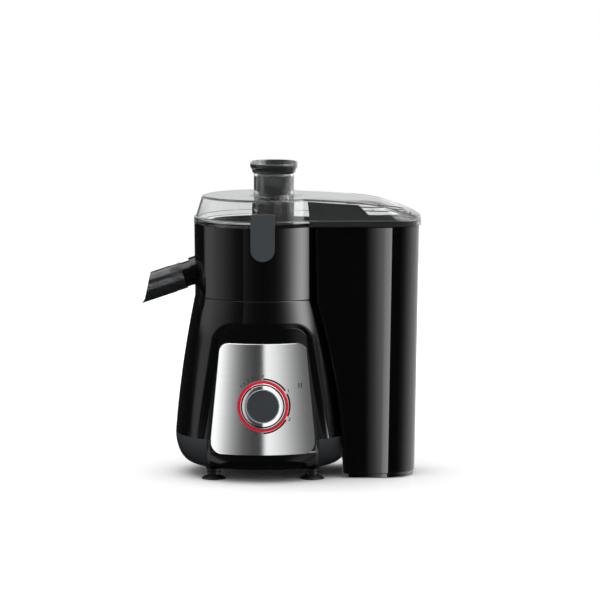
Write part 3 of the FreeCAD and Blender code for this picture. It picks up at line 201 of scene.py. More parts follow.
def bend(radius, level, out, up, steps=4):
    """A rounded edge as (radius, level) pairs: out times 1 - cos and up times 1 - sin of an angle that goes
    over a quarter turn are added to a radius and a level."""
    return [(radius + out * (1 - math.cos(beta)), level + up * (1 - math.sin(beta)))
            for beta in np.linspace(0.0, math.pi / 2, steps)]


def straight(radius, start, end, count):
    """(radius, level) pairs from one level to another."""
    return [(radius, level) for level in np.linspace(start, end, count)]


def spans(table):
    """Even steps over each (first, last, count) of a table, one after the other."""
    return np.concatenate([np.linspace(*span) for span in table])


def rounded_profile(corners, steps=4):
    """Closed profile whose (radius, height, rounding) corners are replaced by tangent arcs: each arc runs
    between the two points where a circle of that rounding touches the corner's legs."""
    points = []
    corners = [np.array(c, float) for c in corners]
    almost_straight = math.pi / 2 - 0.02
    for i, (*here, radius) in enumerate(corners):
        back, ahead = (corners[k % len(corners)][:2] - here for k in (i - 1, i + 1))
        back, ahead = back / np.linalg.norm(back), ahead / np.linalg.norm(ahead)
        half = math.acos(np.clip(back @ ahead, -1, 1)) / 2
        if radius <= 0 or half > almost_straight:
            points.append(np.array(here))
            continue
        run = radius / math.tan(half)
        middle = here + (back + ahead) / np.linalg.norm(back + ahead) * radius / math.sin(half)
        start, end = here + back * run - middle, here + ahead * run - middle
        sweep = math.pi - 2 * half
        for share in np.linspace(0, 1, steps + 1):
            arm = start * math.sin((1 - share) * sweep) + end * math.sin(share * sweep)
            points.append(middle + arm / math.sin(sweep))
    return np.array(points)


def resampled(outline, count):
    """A closed outline given again by points at even steps along it."""
    closed = np.vstack([outline, outline[:1]])
    run = np.concatenate([[0.0], np.cumsum(np.linalg.norm(np.diff(closed, axis=0), axis=1))])
    place = np.linspace(0.0, run[-1], count, endpoint=False)
    return np.column_stack([np.interp(place, run, closed[:, i]) for i in range(2)])


def unit(rows):
    """Vectors made one long."""
    return rows / np.linalg.norm(rows, axis=1)[:, None]


def rod(skin, path, across, along, upright=(0.0, 0.0, 1.0), steps=10):
    """Adds a closed rod: an ellipse with half axes across the upright and along it, carried along a path,
    with both ends drawn to a point."""
    ahead = unit(np.gradient(path, axis=0))
    side = unit(np.cross(ahead, upright))
    lift = np.cross(side, ahead)
    turn = np.linspace(0, 2 * math.pi, steps, endpoint=False)[:, None, None]
    body = path + across * np.cos(turn) * side + along * np.sin(turn) * lift
    ends = [np.broadcast_to(path[i], (steps, 1, 3)) for i in (0, -1)]
    skin.grid(np.concatenate([ends[0], body, ends[1]], axis=1), close_rows=True)


# ---------------------------------------------------------------- finishes
def math_node(kind, swapped=False):
    """A wire's method that adds a Math node; swapped puts the other value first."""
    def method(wire, *others):
        values = (*others, wire) if swapped else (wire, *others)
        return wire.nodes.add("ShaderNodeMath", values, operation=kind)
    return method


class Wire:
    """A value in a node tree. + - * / < > with numbers or other wires add Math nodes; a.angle_to(b) is the
    angle of the point (b, a) in radians, and whole() rounds down."""
    __add__, __radd__ = math_node("ADD"), math_node("ADD", True)
    __sub__, __rsub__ = math_node("SUBTRACT"), math_node("SUBTRACT", True)
    __mul__, __rmul__ = math_node("MULTIPLY"), math_node("MULTIPLY", True)
    __truediv__, __abs__ = math_node("DIVIDE"), math_node("ABSOLUTE")
    __gt__, __lt__ = math_node("GREATER_THAN"), math_node("LESS_THAN")
    whole, root = math_node("FLOOR"), math_node("SQRT")
    angle_to, larger = math_node("ARCTAN2"), math_node("MAXIMUM")

    def __init__(self, nodes, socket):
        self.nodes, self.socket = nodes, socket


class Nodes:
    """The node tree of a material or a world."""

    def __init__(self, owner, output="ShaderNodeOutputMaterial"):
        owner.use_nodes = True
        self.tree = owner.node_tree
        self.tree.nodes.clear()
        self.output = self.tree.nodes.new(output)

    def add(self, kind, values=(), output=0, **settings):
        """Adds a node, makes its settings first and then its inputs, by order or by name."""
        node = self.tree.nodes.new(kind)
        for key, value in settings.items():
            setattr(node, key, value)
        for key, value in values.items() if isinstance(values, dict) else enumerate(values):
            self.plug(node.inputs[key], value)
        return Wire(self, node.outputs[output])

    def plug(self, place, value):
        """Links a wire to a socket, or sets a constant on it."""
        if isinstance(value, Wire):
            self.tree.links.new(value.socket, place)
        elif place.type == "RGBA":
            place.default_value = (*value, 1.0)
        else:
            place.default_value = value

    def surface(self, wire):
        """Shows a shader."""
        self.plug(self.output.inputs["Surface"], wire)

    def spot(self, **mapping):
        """A point in the piece's own coordinates, shifted or stretched."""
        own = self.add("ShaderNodeTexCoord", output="Object")
        return self.add("ShaderNodeMapping", {"Vector": own, **mapping})

    def place(self):
        """The x, y and z of a point of the piece, in metres about the drive axis."""
        split = self.add("ShaderNodeSeparateXYZ", (self.spot(Location=(-AXIS.x, -AXIS.y, 0.0)),))
        return [Wire(self, axis) for axis in split.socket.node.outputs]

    def noise(self, scale, detail=2.0, roughness=0.5, stretch=(1.0, 1.0, 1.0)):
        """Cloudy noise; the stretch widens or narrows its grain."""
        return self.add("ShaderNodeTexNoise", {"Vector": self.spot(Scale=stretch), "Scale": scale,
                                               "Detail": detail, "Roughness": roughness})

    def mix(self, share, first, second):
        """Colour between two colours or wires; the node's colour sockets are told by number."""
        return self.add("ShaderNodeMix", {0: share, 6: first, 7: second}, 2, data_type="RGBA")

    def clamp(self, value, low=0.0, high=1.0):
        """The value, kept between two limits."""
        return self.add("ShaderNodeClamp", (value, low, high))

    def bump(self, height, strength, distance=0.0002):
        """A normal from a height; distance is in metres."""
        return self.add("ShaderNodeBump", {"Strength": strength, "Distance": distance, "Height": height})

    def ramp(self, measure, stops):
        """Grey that follows a table of (place, shade)."""
        wire = self.add("ShaderNodeValToRGB", (measure,))
        marks = wire.socket.node.color_ramp.elements
        for place, _ in stops[1:-1]:
            marks.new(place)
        marks[0].position, marks[-1].position = stops[0][0], stops[-1][0]
        for mark, (_, shade) in zip(marks, stops):
            mark.color = (shade, shade, shade, 1.0)
        return wire


class Finish(Nodes):
    """A material with one principled shader."""

    def __init__(self, name, **values):
        self.material = bpy.data.materials.new(name)
        super().__init__(self.material)
        self.shader = self.add("ShaderNodeBsdfPrincipled")
        self.surface(self.shader)
        self.feed(**values)

    def feed(self, **values):
        """Puts constants or wires on the shader's sockets, and gives back the material."""
        for socket, value in values.items():
            self.plug(self.shader.socket.node.inputs[socket.replace("_", " ")], value)
        return self.material

    def look(self, tones, roughness, relief):
        """Colour mixed from (share, first, second), roughness, and relief as (height, strength, distance)."""
        return self.feed(Base_Color=self.mix(*tones), Roughness=roughness, Normal=self.bump(*relief))


# The tongue's cheeks beside the panel, in metres: how far out they start, their top, and their rearmost y.
CHEEK_START, CHEEK_TOP, CHEEK_FRONT = 0.0655, 0.0515, -0.05
# Levels, in metres, over which painted shade makes the charcoal paler towards the top and darker near the
# foot.
PAINTED_SHADE_LOW, PAINTED_SHADE_RUN = 0.018, 0.030
# The sieve: radius at which holes are counted, and the rows' distance and holes' radius in pitches.
SIEVE_R, SIEVE_ROW, SIEVE_HOLE = 58.0 * MM, 0.87, 0.22
# How steeply a hole's rim and a band's edge rise, and what is taken off the band's rise.
HOLE_EDGE, BAND_SHARP, BAND_PLAIN = 12.0, 6.0, 1.6
# Moulded plastic's noise: its grain, the flow marks and the drift of its colour.
GRAIN_SCALE, FLOW_SCALE, DRIFT_SCALE = 900.0, 38.0, 9.0


def tint(base, factor=1.0):
    """A colour made lighter or darker."""
    return tuple(min(1.0, c * factor) for c in base)


def moulded(name, base, roughness, grain=0.0):
    """Moulded plastic: the colour drifts a little, the gloss has flow marks, a grain may be pressed in."""
    finish = Finish(name)
    if grain:
        finish.feed(Normal=finish.bump(finish.noise(GRAIN_SCALE), grain))
    marks = (finish.noise(FLOW_SCALE, 3.0) - 0.5) * roughness * 0.25
    tones = finish.noise(DRIFT_SCALE, 3.0), tint(base, 0.9), tint(base, 1.1)
    return finish.feed(Base_Color=finish.mix(*tones), Roughness=finish.clamp(roughness + marks, 0.02))


def metal(name, base, roughness, grain=0.05, scale=420.0):
    """Bare metal with a fine machining grain."""
    finish = Finish(name, Metallic=1.0)
    mark = finish.noise(scale, 3.0, 0.6)
    return finish.look((mark, tint(base, 0.86), tint(base, 1.06)),
                       finish.clamp(roughness * 0.7 + mark * roughness * 0.6, 0.03), (mark, grain, 0.0001))


def charcoal_painted_shade(finish, colours, z):
    """The tub's charcoal with painted shade: darker towards its foot, paler towards its upper edge."""
    # Painted shade: the charcoal darkens towards the foot and pales towards the upper edge, with a little
    # random drift.
    painted_shade_share = (z - PAINTED_SHADE_LOW) / PAINTED_SHADE_RUN * 0.8 + finish.noise(40.0, 3.0) * 0.2
    return finish.mix(finish.clamp(painted_shade_share), tint(colours.charcoal, 0.3), tint(colours.charcoal, 1.5))


def gloss_black(colours, cheeks=False):
    """Deep gloss ABS: almost mirror smooth, with a faint orange-peel in its reflections. The housing's has
    the tub's satin charcoal, with its painted shade, on the tongue's cheeks."""
    finish = Finish("housing_gloss_abs" if cheeks else "gloss_black_abs")
    shade = finish.mix(finish.noise(6.0), tint(colours.gloss, 0.85), tint(colours.gloss, 1.15))
    roughness = 0.035
    if cheeks:
        x, y, z = finish.place()
        cheek = (z < CHEEK_TOP) * (y < CHEEK_FRONT) * (1.0 - (abs(x) < CHEEK_START))
        # The cheeks take the tub's charcoal, which carries painted shade darker towards the foot.
        shade = finish.mix(cheek, shade, charcoal_painted_shade(finish, colours, z))
        roughness += cheek * 0.3
    return finish.feed(Base_Color=shade, Roughness=roughness + finish.noise(30.0, 3.0) * 0.03,
                       Normal=finish.bump(finish.noise(160.0, 1.0), 0.02))


def brushed_steel(colours):
    """Horizontally brushed sheet: hairlines stretched along X in colour, gloss and relief."""
    finish = Finish("brushed_steel", Metallic=1.0)
    hair = finish.noise(1.0, 4.0, 0.65, (9.0, 9.0, 2600.0))
    broad = finish.noise(1.0, 2.0, 0.5, (4.0, 4.0, 420.0))
    return finish.look((hair * 0.7 + broad * 0.3, tint(colours.steel, 0.90), tint(colours.steel, 1.06)),
                       0.12 + hair * 0.07, (hair, 0.05, 0.00005))


def clear_plastic(colours):
    """Clear moulded lid: water-clear, faintly grey, with slow flow waves in its surface."""
    finish = Finish("clear_lid", IOR=1.46, Transmission_Weight=1.0)
    return finish.look((finish.noise(5.0), tint(colours.clear, 0.985), tint(colours.clear)),
                       0.012 + finish.noise(14.0) * 0.012, (finish.noise(16.0, 1.0), 0.03, 0.001))


def tub_plastic(colours):
    """Charcoal tub: satin with a fine grain, and black between the cheeks, around the housing's tongue."""
    finish = Finish("charcoal_tub", IOR=1.48)
    x, y, z = finish.place()
    front = (y < CHEEK_FRONT) * (abs(x) < CHEEK_START)
    # The charcoal carries painted shade: darker towards the foot, paler towards the upper edge.
    return finish.look((front, charcoal_painted_shade(finish, colours, z), tint(colours.gloss)),
                       0.34 - front * 0.2 + finish.noise(60.0) * 0.06, (finish.noise(1300.0), 0.10, 0.0001))


def clouded(name, cloud, first, second, roughness, drift, relief, strength, metallic=0.0):
    """Two tones in clouds, whose light parts are rougher by the drift, under a relief; cloud and relief give
    the settings of their noise."""
    finish = Finish(name, Metallic=metallic)
    share = finish.noise(*cloud)
    return finish.look((share, first, second), roughness + share * drift, (finish.noise(*relief), strength))


def smoke_black(name, roughness):
    """Dark smoky plastic of the spout and the pusher."""
    return clouded(name, (24.0, 3.0), (0.006, 0.007, 0.008), (0.012, 0.014, 0.015), roughness, 0.05,
                   (220.0, 1.0), 0.02)


def rubber(name):
    """Black rubber with a dusty bloom."""
    return clouded(name, (90.0, 4.0), (0.004, 0.004, 0.004), (0.012, 0.012, 0.013), 0.32, 0.2, (500.0,), 0.1)


def wear(name, first, second, scale, roughness, metallic=0.0, relief=0.05):
    """Two tones in small clouds, which are their own relief."""
    cloud = (scale, 4.0, 0.6)
    return clouded(name, cloud, first, second, roughness, 0.1, cloud, relief, metallic)


def sieve_steel(sizes):
    """Etched sieve: rows of round holes, every second row shifted by half a pitch, in polar coordinates."""
    finish = Finish("etched_sieve", Metallic=1.0)
    x, y, z = finish.place()
    pitch = sizes.sieve_pitch * MM
    rise = z / (pitch * SIEVE_ROW)
    row = rise.whole()
    shift = row * 0.5 - (row * 0.5).whole()
    along = y.angle_to(x) * (SIEVE_R / pitch) + shift
    u = along - along.whole() - 0.5
    v = (rise - row - 0.5) * SIEVE_ROW
    shine = finish.noise(300.0)
    return finish.feed(Base_Color=finish.mix(shine, (0.55, 0.56, 0.57), (0.75, 0.76, 0.77)),
                       Roughness=0.25 + shine * 0.15,
                       Alpha=finish.clamp(((u * u + v * v).root() - SIEVE_HOLE) * HOLE_EDGE))


def layered(name, first, second, pitch, roughness):
    """Fine level bands of metal, such as laminations or windings, from the height alone."""
    finish = Finish(name, Metallic=1.0)
    x, y, z = finish.place()
    step = z / pitch
    line = finish.clamp(abs(step - step.whole() - 0.5) * BAND_SHARP - BAND_PLAIN)
    return finish.look((line, first, second), roughness + finish.noise(200.0) * 0.1, (1.0 - line, 0.3))


def give(finish, *nodes):
    """Puts a finish on frame nodes."""
    for node in nodes:
        slots = frame["nodes"][node].data.materials
        slots.clear()
        slots.append(finish)


# ---------------------------------------------------------------- housing
HOUSING_TOP = 224.0
PARTING = 52.0
BASE_LOW_R, BASE_BULGE, BASE_DEPTH = 87.6, 22.0, 38.0
FLANK = ((109.6, PARTING), (100.3, 137.0), (85.0, HOUSING_TOP))
BIB_R, BIB_LEVEL, BIB_SLOPE = 107.0, 40.0, (107.0 - 88.5) / 150.0
TONGUE_LOW, TONGUE_HALF = 19.0, 69.0
ARCH_TOP, ARCH_HALF, ARCH_SLOPE, ARCH_CORNER, ARCH_OUT = 195.7, 58.6, 0.163, 20.0, 0.6
ARCH_CROWN_LOW, ARCH_CROWN_HIGH = 174.0, 199.0
RIM_SOFT, RIM_OUT, RIM_WIDTH = 1.2, 0.15, 2.2
DECK_BELOW, INNER_TOP = 221.0, 219.0
# The columns, as spans of the way to the arch's side, and the levels: (first, last, count).
COLUMN_SPANS = (0, 0.64, 14), (0.66, 1.08, 34), (1.12, 2.0, 48)
LEVEL_SPANS = ((PARTING, ARCH_CROWN_LOW, 44), (ARCH_CROWN_LOW, ARCH_CROWN_HIGH, 40),
               (ARCH_CROWN_HIGH, HOUSING_TOP - RIM_SOFT, 14))
# The deck, the spigot, and the collar and bore around the shaft, as (radius, height, rounding).
DECK = ((81.5, HOUSING_TOP, 0.3), (81.5, 233.0, 0.6), (78.7, 233.0, 0.6), (78.7, HOUSING_TOP, 1.2),
        (14.0, HOUSING_TOP, 1.5), (14.0, 231.0, 0.8), (9.05, 231.0, 0.4), (9.05, 223.0, 0), (6.0, 223.0, 0),
        (6.0, DECK_BELOW, 0))


def arc_through(first, second, third):
    """Centre and radius of the circle through three (radius, z) points."""
    (ax, ay), (bx, by), (cx, cy) = first, second, third
    a, b, c = ax**2 + ay**2, bx**2 + by**2, cx**2 + cy**2
    d = 2 * (ax * (by - cy) + bx * (cy - ay) + cx * (ay - by))
    ux = (a * (by - cy) + b * (cy - ay) + c * (ay - by)) / d
    uy = (a * (cx - bx) + b * (ax - cx) + c * (bx - ax)) / d
    return ux, uy, math.hypot(ax - ux, ay - uy)


FLANK_X, FLANK_Z, FLANK_R = arc_through(*FLANK)
FLANK_SIDE = math.copysign(1.0, FLANK[1][0] - FLANK_X)


def body_radius(z):
    """Radius of the housing and tub at a level: an arc above the parting level, a quarter ellipse below."""
    z = np.asarray(z, float)
    upper = FLANK_X + FLANK_SIDE * np.sqrt(np.maximum(FLANK_R**2 - (z - FLANK_Z)**2, 0))
    lower = BASE_LOW_R + BASE_BULGE * np.sqrt(np.clip(1 - ((PARTING - z) / BASE_DEPTH)**2, 0, 1))
    return np.where(z >= PARTING, upper, lower)


def bib_radius(z):
    """Radius of the arched recess's conical floor at a level."""
    return BIB_R - (np.asarray(z, float) - BIB_LEVEL) * BIB_SLOPE


def arch_half(z):
    """Half width of the arched recess at a level."""
    return ARCH_HALF + (ARCH_TOP - np.asarray(z, float)) * ARCH_SLOPE


def arch_distance(x, z):
    """Distance outside (+) or inside (-) the arch: a trapezium with two rounded upper corners."""
    side = (np.abs(x) - arch_half(z)) * math.cos(math.atan(ARCH_SLOPE)) + ARCH_CORNER
    top = z - ARCH_TOP + ARCH_CORNER
    corner = np.hypot(np.maximum(side, 0), np.maximum(top, 0))
    return corner + np.minimum(np.maximum(side, top), 0) - ARCH_CORNER


def skin_radius(turn, z, step):
    """Radius of the housing's skin: the body's radius, let down to the bib's cone inside the arch with a soft
    step of the given width."""
    body = body_radius(z)
    inside = blend_in((ARCH_OUT - arch_distance(body * np.sin(turn), z)) / step)
    inside = np.where(np.cos(turn) > 0, inside, 0)
    return body - inside * np.maximum(body - bib_radius(z), 0)


def around_axis(turn, z, radius):
    """Points at an angle from the front, a level and a radius."""
    return np.stack([radius * np.sin(turn), -radius * np.cos(turn), z + 0 * turn], -1)


def housing_columns():
    """Shares of the way to the arch's side, 0 at the front, 1 at the arch, then on to 2 at the back, and the
    tongue's share among them."""
    radius = float(body_radius(PARTING))
    tongue = math.asin(TONGUE_HALF / min(radius, float(bib_radius(PARTING))))
    tongue /= math.asin(float(arch_half(PARTING)) / radius)
    shares = np.concatenate([[tongue], spans(COLUMN_SPANS)])
    return np.unique(np.round(shares, 5)), round(tongue, 5)


def housing_turns(shares, z):
    """Angle of each column at each level, so that column 1 follows the arch's side."""
    side = np.arcsin(np.clip(arch_half(z) / body_radius(z), -1, 1))
    reach = np.abs(shares)
    return np.sign(shares) * np.where(reach <= 1, reach * side, side + (reach - 1) * (math.pi - side))


class JUICER_OT_housing(bpy.types.Operator):
    """Gloss housing: a body of revolution whose radius drops softly to a cone inside the arched recess"""
    bl_idname = "juicer.housing"
    bl_label = "Housing"

    def execute(self, context):
        sizes = context.scene.juicer_sizes
        wall = sizes.housing_wall
        half_shares, tongue_share = housing_columns()
        shares = np.concatenate([-half_shares[::-1][:-1], half_shares[:-1]])

        def skin(levels, inset):
            turn = housing_turns(shares, levels)
            return turn[-1], around_axis(turn, levels, skin_radius(turn, levels, sizes.bib_step) - inset)

        levels = np.unique(spans(LEVEL_SPANS))[:, None]
        top_turn, outer = skin(levels, 0.0)
        _, inner = skin(levels[levels[:, 0] < INNER_TOP][::-1], wall)
        top_r = float(body_radius(HOUSING_TOP))
        rim = bend(top_r + RIM_OUT, HOUSING_TOP, -RIM_SOFT, -RIM_SOFT, 5)[1:]
        deck = rounded_profile([(top_r - RIM_WIDTH, HOUSING_TOP, 0), *DECK, (top_r - wall, DECK_BELOW, 0)])
        upper = np.concatenate([rim, deck])
        upper = around_axis(top_turn, upper[:, 1:], upper[:, :1] + 0 * top_turn)
        shell = Surface().grid(np.concatenate([outer, upper, inner]), close_columns=True)
        columns = np.flatnonzero(np.abs(shares) <= tongue_share + TINY)
        self.add_tongue(shell, outer[0], inner[-1], columns, wall)
        shell.build("housing_shell", gloss_black(context.scene.juicer_colours, cheeks=True), "base",
                    ["housing"], "gloss_black")
        return {"FINISHED"}

    def add_tongue(self, shell, outer, inner, columns, wall):
        """The lower edge beside the tongue, and the tongue: two sheets on the bib's cone below it, and its
        sides and end."""
        first, last = columns[[0, -1]]
        order = np.concatenate([np.arange(last, len(outer)), np.arange(0, first + 1)])
        shell.grid(np.stack([outer[order], inner[order]]))
        drop = np.linspace(PARTING, TONGUE_LOW, 14)[:, None]
        sheets = []
        for edge, inset in ((outer, 0.0), (inner, wall)):
            x = edge[columns, 0]
            radius = np.minimum(body_radius(drop), bib_radius(drop)) - inset
            sheets.append(np.stack([x + 0 * radius, -np.sqrt(radius**2 - x**2), drop + 0 * x], -1))
            shell.grid(sheets[-1])
        for ends in ([s[:, 0] for s in sheets], [s[:, -1] for s in sheets], [s[-1] for s in sheets]):
            shell.grid(np.stack(ends))


class JUICER_OT_tub(bpy.types.Operator):
    """Charcoal tub, its screws and the cord gland take their finishes"""
    bl_idname = "juicer.tub"
    bl_label = "Base tub"

    def execute(self, context):
        give(tub_plastic(context.scene.juicer_colours), "base_tub")
        give(metal("zinc_screw", (0.55, 0.56, 0.58), 0.3), "tub_screws", "mount_screws", "motor_bolts")
        give(rubber("gland_rubber"), "cord_gland")
        return {"FINISHED"}


class JUICER_OT_feet(bpy.types.Operator):
    """Rubber suction feet take their finish"""
    bl_idname = "juicer.feet"
    bl_label = "Feet"

    def execute(self, context):
        give(rubber("foot_rubber"), "foot_front_left", "foot_front_right", "foot_rear_left",
             "foot_rear_right")
        return {"FINISHED"}


# ---------------------------------------------------------------- panel and dial
PANEL_FACE, PANEL_THICKNESS = 1.3, 1.2
PANEL_LOW, PANEL_HIGH = 35.6, 171.8
PANEL_HALF_LOW, PANEL_HALF_HIGH = 66.3, 53.4
PANEL_LOW_CORNER, PANEL_HIGH_CORNER = 14.0, 12.0
PANEL_SOFT, PANEL_DROP, PANEL_BACK_INSET = 1.6, 0.8, 0.2
PANEL_POINTS = 300
DIAL_Z = 96.0
DIAL_TILT = math.atan(BIB_SLOPE)
DIAL_OUT = float(bib_radius(DIAL_Z)) + PANEL_FACE
# The dial's turned pieces: name, body, node, slot, and the (radius, height, rounding) corners.
DIAL_PIECES = (
    ("dial_trim_shell", "base", "dial_trim_ring", "bright_metal",
     ((26.95, 0.1, 0), (27.75, 0.1, 0), (27.75, 1.5, 0.2), (27.35, 2.0, 0.5), (26.95, 1.5, 0.2))),
    ("dial_red_shell", "base", "dial_red_ring", "red_gloss",
     ((27.8, 0.1, 0), (31.8, 0.1, 0), (31.8, 0.9, 0.3), (31.0, 1.4, 0.6), (28.3, 1.4, 0.4),
      (27.8, 1.0, 0.2))),
    ("knob_ring_shell", "knob", "knob_ring", "bright_metal",
     ((14.9, 1.4, 0), (25.3, 1.4, 0.4), (25.3, 12.3, 0.4), (20.5, 14.2, 0.3), (20.3, 11.0, 0),
      (14.9, 11.0, 0))),
    ("knob_cap_shell", "knob", "knob_cap", "charcoal",
     ((0, 7.0, 0), (3.0, 7.0, 0), (3.0, 4.2, 0), (5.5, 4.2, 0.2), (5.5, 10.9, 0), (19.8, 10.9, 0.2),
      (19.8, 14.6, 0.5), (18.9, 14.6, 0.2), (18.3, 14.3, 0.6), (0, 14.3, 0))))
# The printed scale: arcs and dashes by their angles from the top, in degrees, the end marks, the figures'
# angles and distances from the dial's centre, and ink heights.
ARCS, ARC_R, ARC_WIDTH = ((1, 56), (64, 113), (121, 179)), 33.3, 2.1
DASHES, DASH_REACH, DASH_WIDTH = (-48, -40, -30, -20), np.array([34.4, 37.4]), 1.0
BARS, BAR_UP, BAR_WIDTH = (46.1 - 1.5, 46.1 + 1.5), (21.4, 24.4, 27.4), 1.1
FIGURE_SCALE, FIGURE_WIDTH, FIGURE_PLACES = 1.3, 0.8, ((0, 37.2), (60, 36.4), (117, 36.8))
INK_LOW, INK_HIGH = -0.05, 0.06


def on_dial(right, up, out):
    """Points given to the right, up and out from the dial's centre on the panel's face."""
    c, s = math.cos(DIAL_TILT), math.sin(DIAL_TILT)
    return np.stack([right, -DIAL_OUT - out * c + up * s, DIAL_Z + out * s + up * c], -1)


def dial_turned(profile, steps=128):
    """A (radius, height) profile carried round the dial's axis."""
    angle = np.linspace(0, 2 * math.pi, steps, endpoint=False)
    r, out = profile[:, :1], profile[:, 1:]
    return on_dial(r * np.sin(angle), r * np.cos(angle), out + 0 * angle)


def on_cone(x, z, lift):
    """Points on the panel's cone, lifted off its face."""
    return np.stack([x, -np.sqrt((bib_radius(z) + PANEL_FACE + lift)**2 - x**2), z], -1)


def panel_outline(inset):
    """Plan (x, z) of the panel: a trapezium with four round corners, drawn in all round by an inset."""
    corners = [(side * (half - inset), level, corner - inset) for side, half, level, corner in (
        (-1, PANEL_HALF_LOW, PANEL_LOW + inset, PANEL_LOW_CORNER),
        (1, PANEL_HALF_LOW, PANEL_LOW + inset, PANEL_LOW_CORNER),
        (1, PANEL_HALF_HIGH, PANEL_HIGH - inset, PANEL_HIGH_CORNER),
        (-1, PANEL_HALF_HIGH, PANEL_HIGH - inset, PANEL_HIGH_CORNER))]
    return resampled(rounded_profile(corners, 10), PANEL_POINTS)


def on_circle(degrees, reach):
    """Points (right, up) at angles from the top and distances from the dial's centre."""
    angle = np.radians(degrees)
    return np.stack([reach * np.sin(angle), reach * np.cos(angle)], -1)


def stroke(ink, path, width, closed=False):
    """Adds a printed line: a path of (right, up) points widened to both sides, a hair thick; up is measured
    along the dial's upright."""
    path = np.asarray(path, float)
    ahead = np.gradient(path, axis=0)
    if closed:
        ahead[0] = ahead[-1] = path[1] - path[-2]
    side = unit(ahead)[:, ::-1] * (0.5 * width, -0.5 * width)
    rows = np.stack([on_cone(right, DIAL_Z + up * math.cos(DIAL_TILT), lift) for (right, up), lift in (
        ((path + side).T, INK_LOW), ((path + side).T, INK_HIGH), ((path - side).T, INK_HIGH),
        ((path - side).T, INK_LOW))])
    ink.grid(rows, close_rows=True)
    if not closed:
        for end in (0, -1):
            ink.grid(np.stack([rows[:2, end], rows[[3, 2], end]]))


class JUICER_OT_panel(bpy.types.Operator):
    """Control panel: rounded trapezium outlines on a cone, from the middle of its back round its soft edge to
    the middle of its face"""
    bl_idname = "juicer.panel"
    bl_label = "Control panel"

    def execute(self, context):
        middle = np.array([0.0, (PANEL_LOW + PANEL_HIGH) / 2])
        levels = [(PANEL_SOFT, -PANEL_THICKNESS, share) for share in np.linspace(0, 0.98, 16)]
        levels.append((PANEL_BACK_INSET, -PANEL_THICKNESS, 1.0))
        levels += [(inset, lift, 1.0) for inset, lift in bend(0.0, 0.0, PANEL_SOFT, -PANEL_DROP, 7)]
        levels += [(PANEL_SOFT, 0.0, share) for share in np.linspace(0.98, 0, 30)]
        rows = [on_cone(*(middle + (panel_outline(inset) - middle) * share).T, lift)
                for inset, lift, share in levels]
        Surface().grid(np.stack(rows), close_columns=True).build(
            "panel_plate", brushed_steel(context.scene.juicer_colours), "base", ["control_panel"],
            "brushed_steel", crease=60.0)
        return {"FINISHED"}


class JUICER_OT_dial(bpy.types.Operator):
    """Dial: knob ring, cap and the rings around it as turned profiles, and the printed scale as strokes"""
    bl_idname = "juicer.dial"
    bl_label = "Dial"

    def execute(self, context):
        colours = context.scene.juicer_colours
        finishes = {"bright_metal": metal("satin_chrome", (0.93, 0.93, 0.93), 0.10, grain=0.01, scale=800.0),
                    "red_gloss": moulded("dial_red_plastic", colours.red, 0.22),
                    "charcoal": moulded("dial_cap_plastic", colours.cap, 0.45, 0.05)}
        give(moulded("dial_seat_plastic", colours.gloss, 0.2), "dial_seat")
        for name, body, node, slot, corners in DIAL_PIECES:
            hollow = min(r for r, *_ in corners) > 0
            Surface().grid(dial_turned(rounded_profile(corners)), hollow, True).build(
                name, finishes[slot], body, [node], slot)
        self.print_scale()
        return {"FINISHED"}

    def print_scale(self):
        """Arcs beside the dial with a dash where each number stands, the numbers and the two end marks."""
        ink = Surface()
        for start, end in ARCS:
            stroke(ink, on_circle(np.linspace(start, end, 40), ARC_R), ARC_WIDTH)
        for degrees in DASHES:
            stroke(ink, on_circle(degrees, DASH_REACH), DASH_WIDTH)
        zero = on_circle(np.linspace(0, 360, 25), 1.0) * (0.85, 1.35)
        one = np.array([(-0.6, 0.8), (0.1, 1.4), (0.1, 0.0), (0.1, -1.4)])
        two = np.vstack([on_circle(np.linspace(-80, 130, 14), 1.0) * (0.8, 0.75) + (0.0, 0.65),
                         [(-0.85, -1.4), (-0.3, -1.4), (0.95, -1.4)]])
        for figure, place, closed in zip((zero, one, two), FIGURE_PLACES, (True, False, False)):
            stroke(ink, figure * FIGURE_SCALE + on_circle(*place), FIGURE_WIDTH, closed)
        for right in BARS:
            stroke(ink, [(right, up) for up in BAR_UP], BAR_WIDTH)
        ink.build("dial_scale", moulded("scale_ink", (0.012, 0.013, 0.014), 0.5), "base",
                  slot="black_plastic")


# ---------------------------------------------------------------- lid, chute and pusher
BAND_LOW, SHOULDER, LID_TOP, HOOD_END_TOP = 314.0, 322.0, 348.0, 342.0
HOOD_START, HOOD_BEND, HOOD_END = 57.0, 118.0, 171.0
HOOD_FALL = (LID_TOP - HOOD_END_TOP) / (HOOD_END - HOOD_START)
HOOD_CURVE, HOOD_CURVE_LIMIT, HOOD_SOFT = 8.0, 1.3, 12.0
BAND_R, BAND_END, BAND_HALF, BAND_SOFT = 86.3, 196.5, 67.8, 1.5
WALL_R, WALL_END, WALL_HALF, WALL_SOFT = 84.0, 195.0, 66.0, 3.0
DOME_LEAN, END_LEAN, HOOD_LEAN = 8.0 / 26.0, 1.2, 0.346
HOOD_CORNER = 42.0
BAND_EDGE, FOOT_EDGE, FOOT_SPREAD = 1.0, 0.8, 0.9
# The lid's edge grows by this share from one x over the next so many millimetres, up to a share of the wall.
FILLET_GROWTH, FILLET_FROM, FILLET_OVER, FILLET_LIMIT = 2.2, 60.0, 80.0, 0.6
CHUTE_X, CHUTE_STRAIGHT, CHUTE_R = 13.4, 11.5, 25.0
CHUTE_TOP, CHUTE_LOW, CHUTE_FILLET, CHUTE_EDGE, CHUTE_FROM = 377.0, 258.0, 2.0, 0.8, LID_TOP + 3
# The lid's columns over half a turn, in degrees; the share of the way to the chute over which the roof comes
# to the sloping level; the share of the wall that the inner edge's radius loses, and its least; and how many
# times top_level substitutes.
LID_SPANS, SETTLE = ((0, 56, 96), (57.5, 180, 62)), 0.25
INNER_LESS, INNER_LEAST, ROUNDS = 0.6, 0.6, 12
